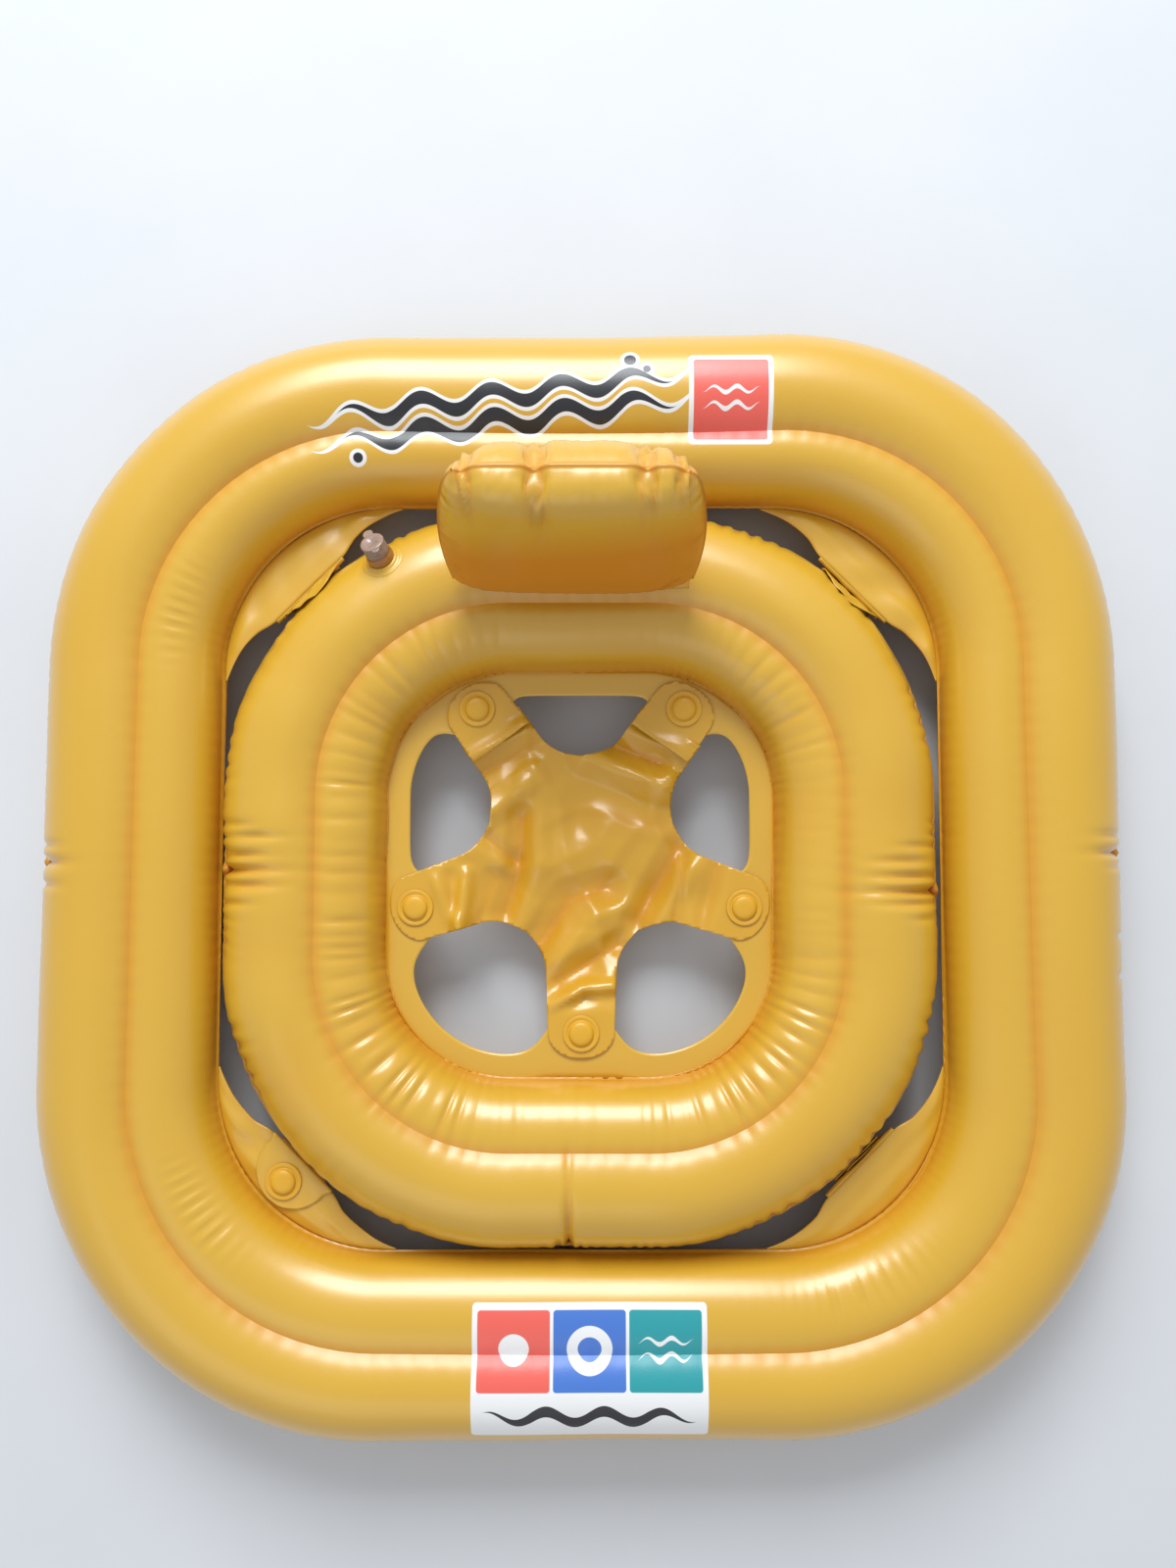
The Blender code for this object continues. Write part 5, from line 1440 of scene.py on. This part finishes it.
def ear(name, place, radius, offset):
    """A flat lobe on the plug's edge. The one at the hinge is small, so that it clears the stem when open."""
    flat = [(0.0, 0.0004), (radius - 0.0004, 0.0004)]
    flat += arc(radius - 0.0006, 0.0011, 0.0007, -60, 60, 5)
    flat += [(radius - 0.0014, 0.0016), (0.0011, 0.0015), (0.0, 0.0013)]
    return turned(name, flat, place @ Matrix.Translation((offset, 0, 0)), EAR_ROUNDS)


def dress_valve(label, place, pushed, body, bend=None):
    """One valve: its flange on the film, and the stem, strap, plug and ears that move with it."""
    flange = turned_wall(f"{label}_valve_ring", flange_profile(), place, bend)
    finish_film(flange, body, f"{label}_valve_flange")
    moved = place @ Matrix.Translation((0, 0, -PUSH if pushed else 0))
    seat = moved @ Matrix.Translation((0, 0, STEM_TOP + CLEARANCE))
    tube = turned_wall(f"{label}_valve_tube", stem_profile(), moved)
    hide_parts(f"{label}_valve_stem")
    with_stem = [(tube, valve_clear)]
    if not pushed:
        with_stem.append((turned_wall(f"{label}_valve_skirt", SKIRT_PROFILE, moved), skirt_clear))
    with_stem.append((strap(f"{label}_valve_strap", moved), valve_clear))
    plug = turned(f"{label}_valve_cap", plug_profile(), seat, PLUG_ROUNDS)
    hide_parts(f"{label}_valve_plug")
    with_plug = [(plug, valve_clear)]
    ears = ((HINGE_EAR_RADIUS, -PLUG_RADIUS - HINGE_EAR_OUT), (EAR_RADIUS, PLUG_RADIUS + EAR_OUT))
    for index, (radius, offset) in enumerate(ears):
        with_plug.append((ear(f"{label}_valve_ear_{index}", seat, radius, offset), valve_clear))
    for part, pieces in (("stem", with_stem), ("plug", with_plug)):
        for piece, material in pieces:
            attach(piece, f"{label}_valve_{part}")
            coat(piece, material)
    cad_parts[f"{label}_valve_flap"].material_slots[0].material = valve_clear


def lobe_bend(ring, inset):
    """How a flange drops away along and across a ring's lobe, from its middle."""
    lean = (WELD_LIP + ring.lobes[0] - inset) / ring.lobes[0]
    return lambda x, y: x**2 / (2 * ring.lobes[0]) + lean * y**2 / (2 * (ring.corner - inset))


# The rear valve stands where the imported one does, on a backrest a little taller than the pillow.
PACKED_REST_HEIGHT, PACKED_REST_DEPTH = 0.1166, 0.0285
INNER_VALVE, OUTER_VALVE = (118.5, 0.019), (225, 0.007)
rear_face = (-REST_SHIFT, PACKED_REST_DEPTH + FILM + CLEARANCE / 2, PACKED_REST_HEIGHT / 2)
rear_valve = pillow_place @ Matrix.Translation(rear_face) @ Matrix.Rotation(-math.pi / 2, 4, "X")
inner_valve = ring_valve_frame(INNER, *INNER_VALVE, 1)
outer_valve = ring_valve_frame(OUTER, *OUTER_VALVE, -1)
dress_valve("inner", inner_valve, False, "inner_ring", lobe_bend(INNER, INNER_VALVE[1]))
dress_valve("outer", outer_valve, True, "outer_ring", lobe_bend(OUTER, OUTER_VALVE[1]))
dress_valve("backrest", rear_valve, True, "backrest")
for place in (inner_valve, outer_valve, rear_valve):
    print("valve at", [round(part, 3) for part in place.translation])

# %% [markdown]
# The film was screen printed before it was welded, at the rear and at the front of the outer ring. These
# prints are plain ones: two black waves with a pale outline and some bubbles, a coral badge with two waves,
# and a white panel of three coloured squares over another wave. Each is drawn by shader arithmetic from its
# place seen from above, so that the ink follows the lobes.

# %% The prints
INK_BLACK, INK_WHITE = (0.012, 0.012, 0.016, 1), (0.80, 0.80, 0.80, 1)
INK_CORAL, INK_BLUE, INK_TEAL = (0.78, 0.115, 0.085, 1), (0.055, 0.17, 0.56, 1), (0.015, 0.30, 0.33, 1)
SHARP = 0.0003
WAVE_START, WAVE_LENGTH, WAVE_RISE = (-0.160, 0.2885), 0.222, 7.0
BADGE, BADGE_HALF = (0.0975, 0.3080), (0.0275, 0.0290)
PANEL, PANEL_HALF = (0.0055, -0.3090), (0.0735, 0.0400)
SQUARE, SQUARE_ROW = 0.0215, -0.2965
SQUARE_STEP, SQUARE_HALF, BADGE_MARGIN = 0.0475, (SQUARE + 0.0012, SQUARE + 0.0018), 0.0032
BUBBLES = (((0.196, 0.0215), 0.0040), ((0.206, 0.0135), 0.0026), ((0.012, -0.0195), 0.0032))
WAVE_OUTLINE = 0.0024
# Each kind of wave: length, height, thickness.
LONG_WAVE, PANEL_WAVE, SMALL_WAVE = (0.046, 0.0052, 0.0042), (0.036, 0.0038, 0.0036), (0.015, 0.0020, 0.0015)


def inside(distance):
    """1 where a distance in metres is negative, with an edge that is a fraction of a millimetre soft."""
    return (0.5 - distance / SHARP).held()


def box_distance(x, y, centre, half, corner=0.002):
    """About how far a point lies outside a box with rounded corners."""
    past_x = ((x - centre[0]).abs() - (half[0] - corner)).at_least(0.0)
    past_y = ((y - centre[1]).abs() - (half[1] - corner)).at_least(0.0)
    return (past_x * past_x + past_y * past_y).power(0.5) - corner


def round_distance(x, y, centre):
    off_x, off_y = x - centre[0], y - centre[1]
    return (off_x * off_x + off_y * off_y).power(0.5)


def wave_distance(along, across, centre, wave, ends):
    """How far a point lies outside a wave whose ends taper."""
    length, height, thick = wave
    middle = across - centre - (along * (2 * math.pi / length)).sine() * height
    taper = ((along - ends[0]) * 0.12).at_most((ends[1] - along) * 0.12).at_most(thick)
    return middle.abs() - taper


def print_waves(board, x, y, colour):
    turn = math.radians(WAVE_RISE)
    off_x, off_y = x - WAVE_START[0], y - WAVE_START[1]
    along = off_x * math.cos(turn) + off_y * math.sin(turn)
    across = off_y * math.cos(turn) - off_x * math.sin(turn)
    ends = (0.002, WAVE_LENGTH)
    shapes = [wave_distance(along, across, centre, LONG_WAVE, ends) for centre in (0.0075, -0.0085)]
    shapes += [round_distance(along, across, place) - radius for place, radius in BUBBLES]
    nearest = shapes[0]
    for shape in shapes[1:]:
        nearest = nearest.at_most(shape)
    outlined = inside(nearest - WAVE_OUTLINE)
    return board.mix(inside(nearest), board.mix(outlined, colour, INK_WHITE), INK_BLACK), outlined


def print_square(board, x, y, centre, half, ink, colour, sign):
    """A square of one ink with a white sign in it: a disc, a ring or two waves."""
    away = round_distance(x, y, centre)
    colour = board.mix(inside(box_distance(x, y, centre, half)), colour, ink)
    if sign == "disc":
        white = inside(away - half[0] * 0.42)
    elif sign == "ring":
        white = inside((away - half[0] * 0.48).abs() - half[0] * 0.15)
    else:
        ends = (-0.75 * half[0], 0.75 * half[0])
        off = x - centre[0], y - centre[1]
        low, high = (wave_distance(*off, row, SMALL_WAVE, ends) for row in (-0.005, 0.005))
        white = inside(low.at_most(high))
    return board.mix(white, colour, INK_WHITE)


def printed_vinyl():
    """The film's own material, with inks laid over its colour."""
    material = vinyl("printed_vinyl")
    board = Board(material.node_tree)
    shader = material.node_tree.nodes["Principled BSDF"]
    x, y, _ = board.axes()
    colour = Wire(material.node_tree, shader.inputs["Base Color"].links[0].from_socket)
    colour, waves = print_waves(board, x, y, colour)
    badge = inside(box_distance(x, y, BADGE, BADGE_HALF, 0.003))
    colour = board.mix(badge, colour, INK_WHITE)
    badge_square = [half - BADGE_MARGIN for half in BADGE_HALF]
    colour = print_square(board, x, y, BADGE, badge_square, INK_CORAL, colour, "waves")
    panel = inside(box_distance(x, y, PANEL, PANEL_HALF, 0.0025))
    colour = board.mix(panel, colour, INK_WHITE)
    for step, (ink, sign) in enumerate(((INK_CORAL, "disc"), (INK_BLUE, "ring"), (INK_TEAL, "waves"))):
        centre = (PANEL[0] + (step - 1) * SQUARE_STEP, SQUARE_ROW)
        colour = print_square(board, x, y, centre, SQUARE_HALF, ink, colour, sign)
    wave = wave_distance(x - PANEL[0], y, -0.3350, PANEL_WAVE, (-0.066, 0.066))
    colour = board.mix(inside(wave), colour, INK_BLACK)
    connect(board, shader, Base_Color=colour)
    bare = Wire(material.node_tree, shader.inputs["Coat Weight"].links[0].from_socket)
    inked = waves.at_least(badge).at_least(panel)
    connect(board, shader, Coat_Weight=bare * (1.0 - inked * 0.7))
    return material


outer_films[0].data.materials[0] = printed_vinyl()
print("prints on", outer_films[0].name)

# %% [markdown]
# A window at the top of the picture lights the float in the photograph: it puts broad pale highlights on
# the sides of the lobes that face it, and leaves the near side in soft shade. A large area lamp stands for
# the window, low enough to graze, with a weak one opposite and a plain world around them.

# %% Floor, lamps and world
FLOOR_SIZE, FLOOR_DROP = 6.0, 0.0003
FLOOR_DARK, FLOOR_PALE = (0.60, 0.615, 0.645, 1), (0.66, 0.675, 0.70, 1)


def make_floor():
    bpy.ops.mesh.primitive_plane_add(size=FLOOR_SIZE, location=(0, 0, -FLOOR_DROP))
    floor = bpy.context.object
    floor.name = "floor"
    material, board, shader = new_material("pale_floor", Roughness=0.75, Specular_IOR_Level=0.3)
    connect(board, shader, Base_Color=board.mix(board.noise(6, 4, 0.6), FLOOR_DARK, FLOOR_PALE))
    floor.data.materials.append(material)


def area_lamp(name, place, size, power, colour):
    """A lamp this large that faces the float's middle."""
    data = bpy.data.lights.new(name, "AREA")
    data.shape, data.size, data.size_y = "RECTANGLE", *size
    data.energy, data.color = power, colour
    lamp = show(name, data)
    lamp.location = place
    lamp.rotation_euler = (-Vector(place)).to_track_quat("-Z", "Y").to_euler()


make_floor()
area_lamp("window", place=(-0.25, 2.4, 2.0), size=(1.5, 1.5), power=98, colour=(0.93, 0.97, 1.0))
area_lamp("room", place=(-0.9, -1.9, 2.2), size=(2.2, 1.6), power=8, colour=(1.0, 0.97, 0.93))
world = bpy.data.worlds.new("room")
world.use_nodes = True
sky = world.node_tree.nodes["Background"].inputs
sky["Color"].default_value = (0.93, 0.96, 1.0, 1)
sky["Strength"].default_value = 0.62
bpy.context.scene.world = world
print("two lamps, a plain world and a floor")
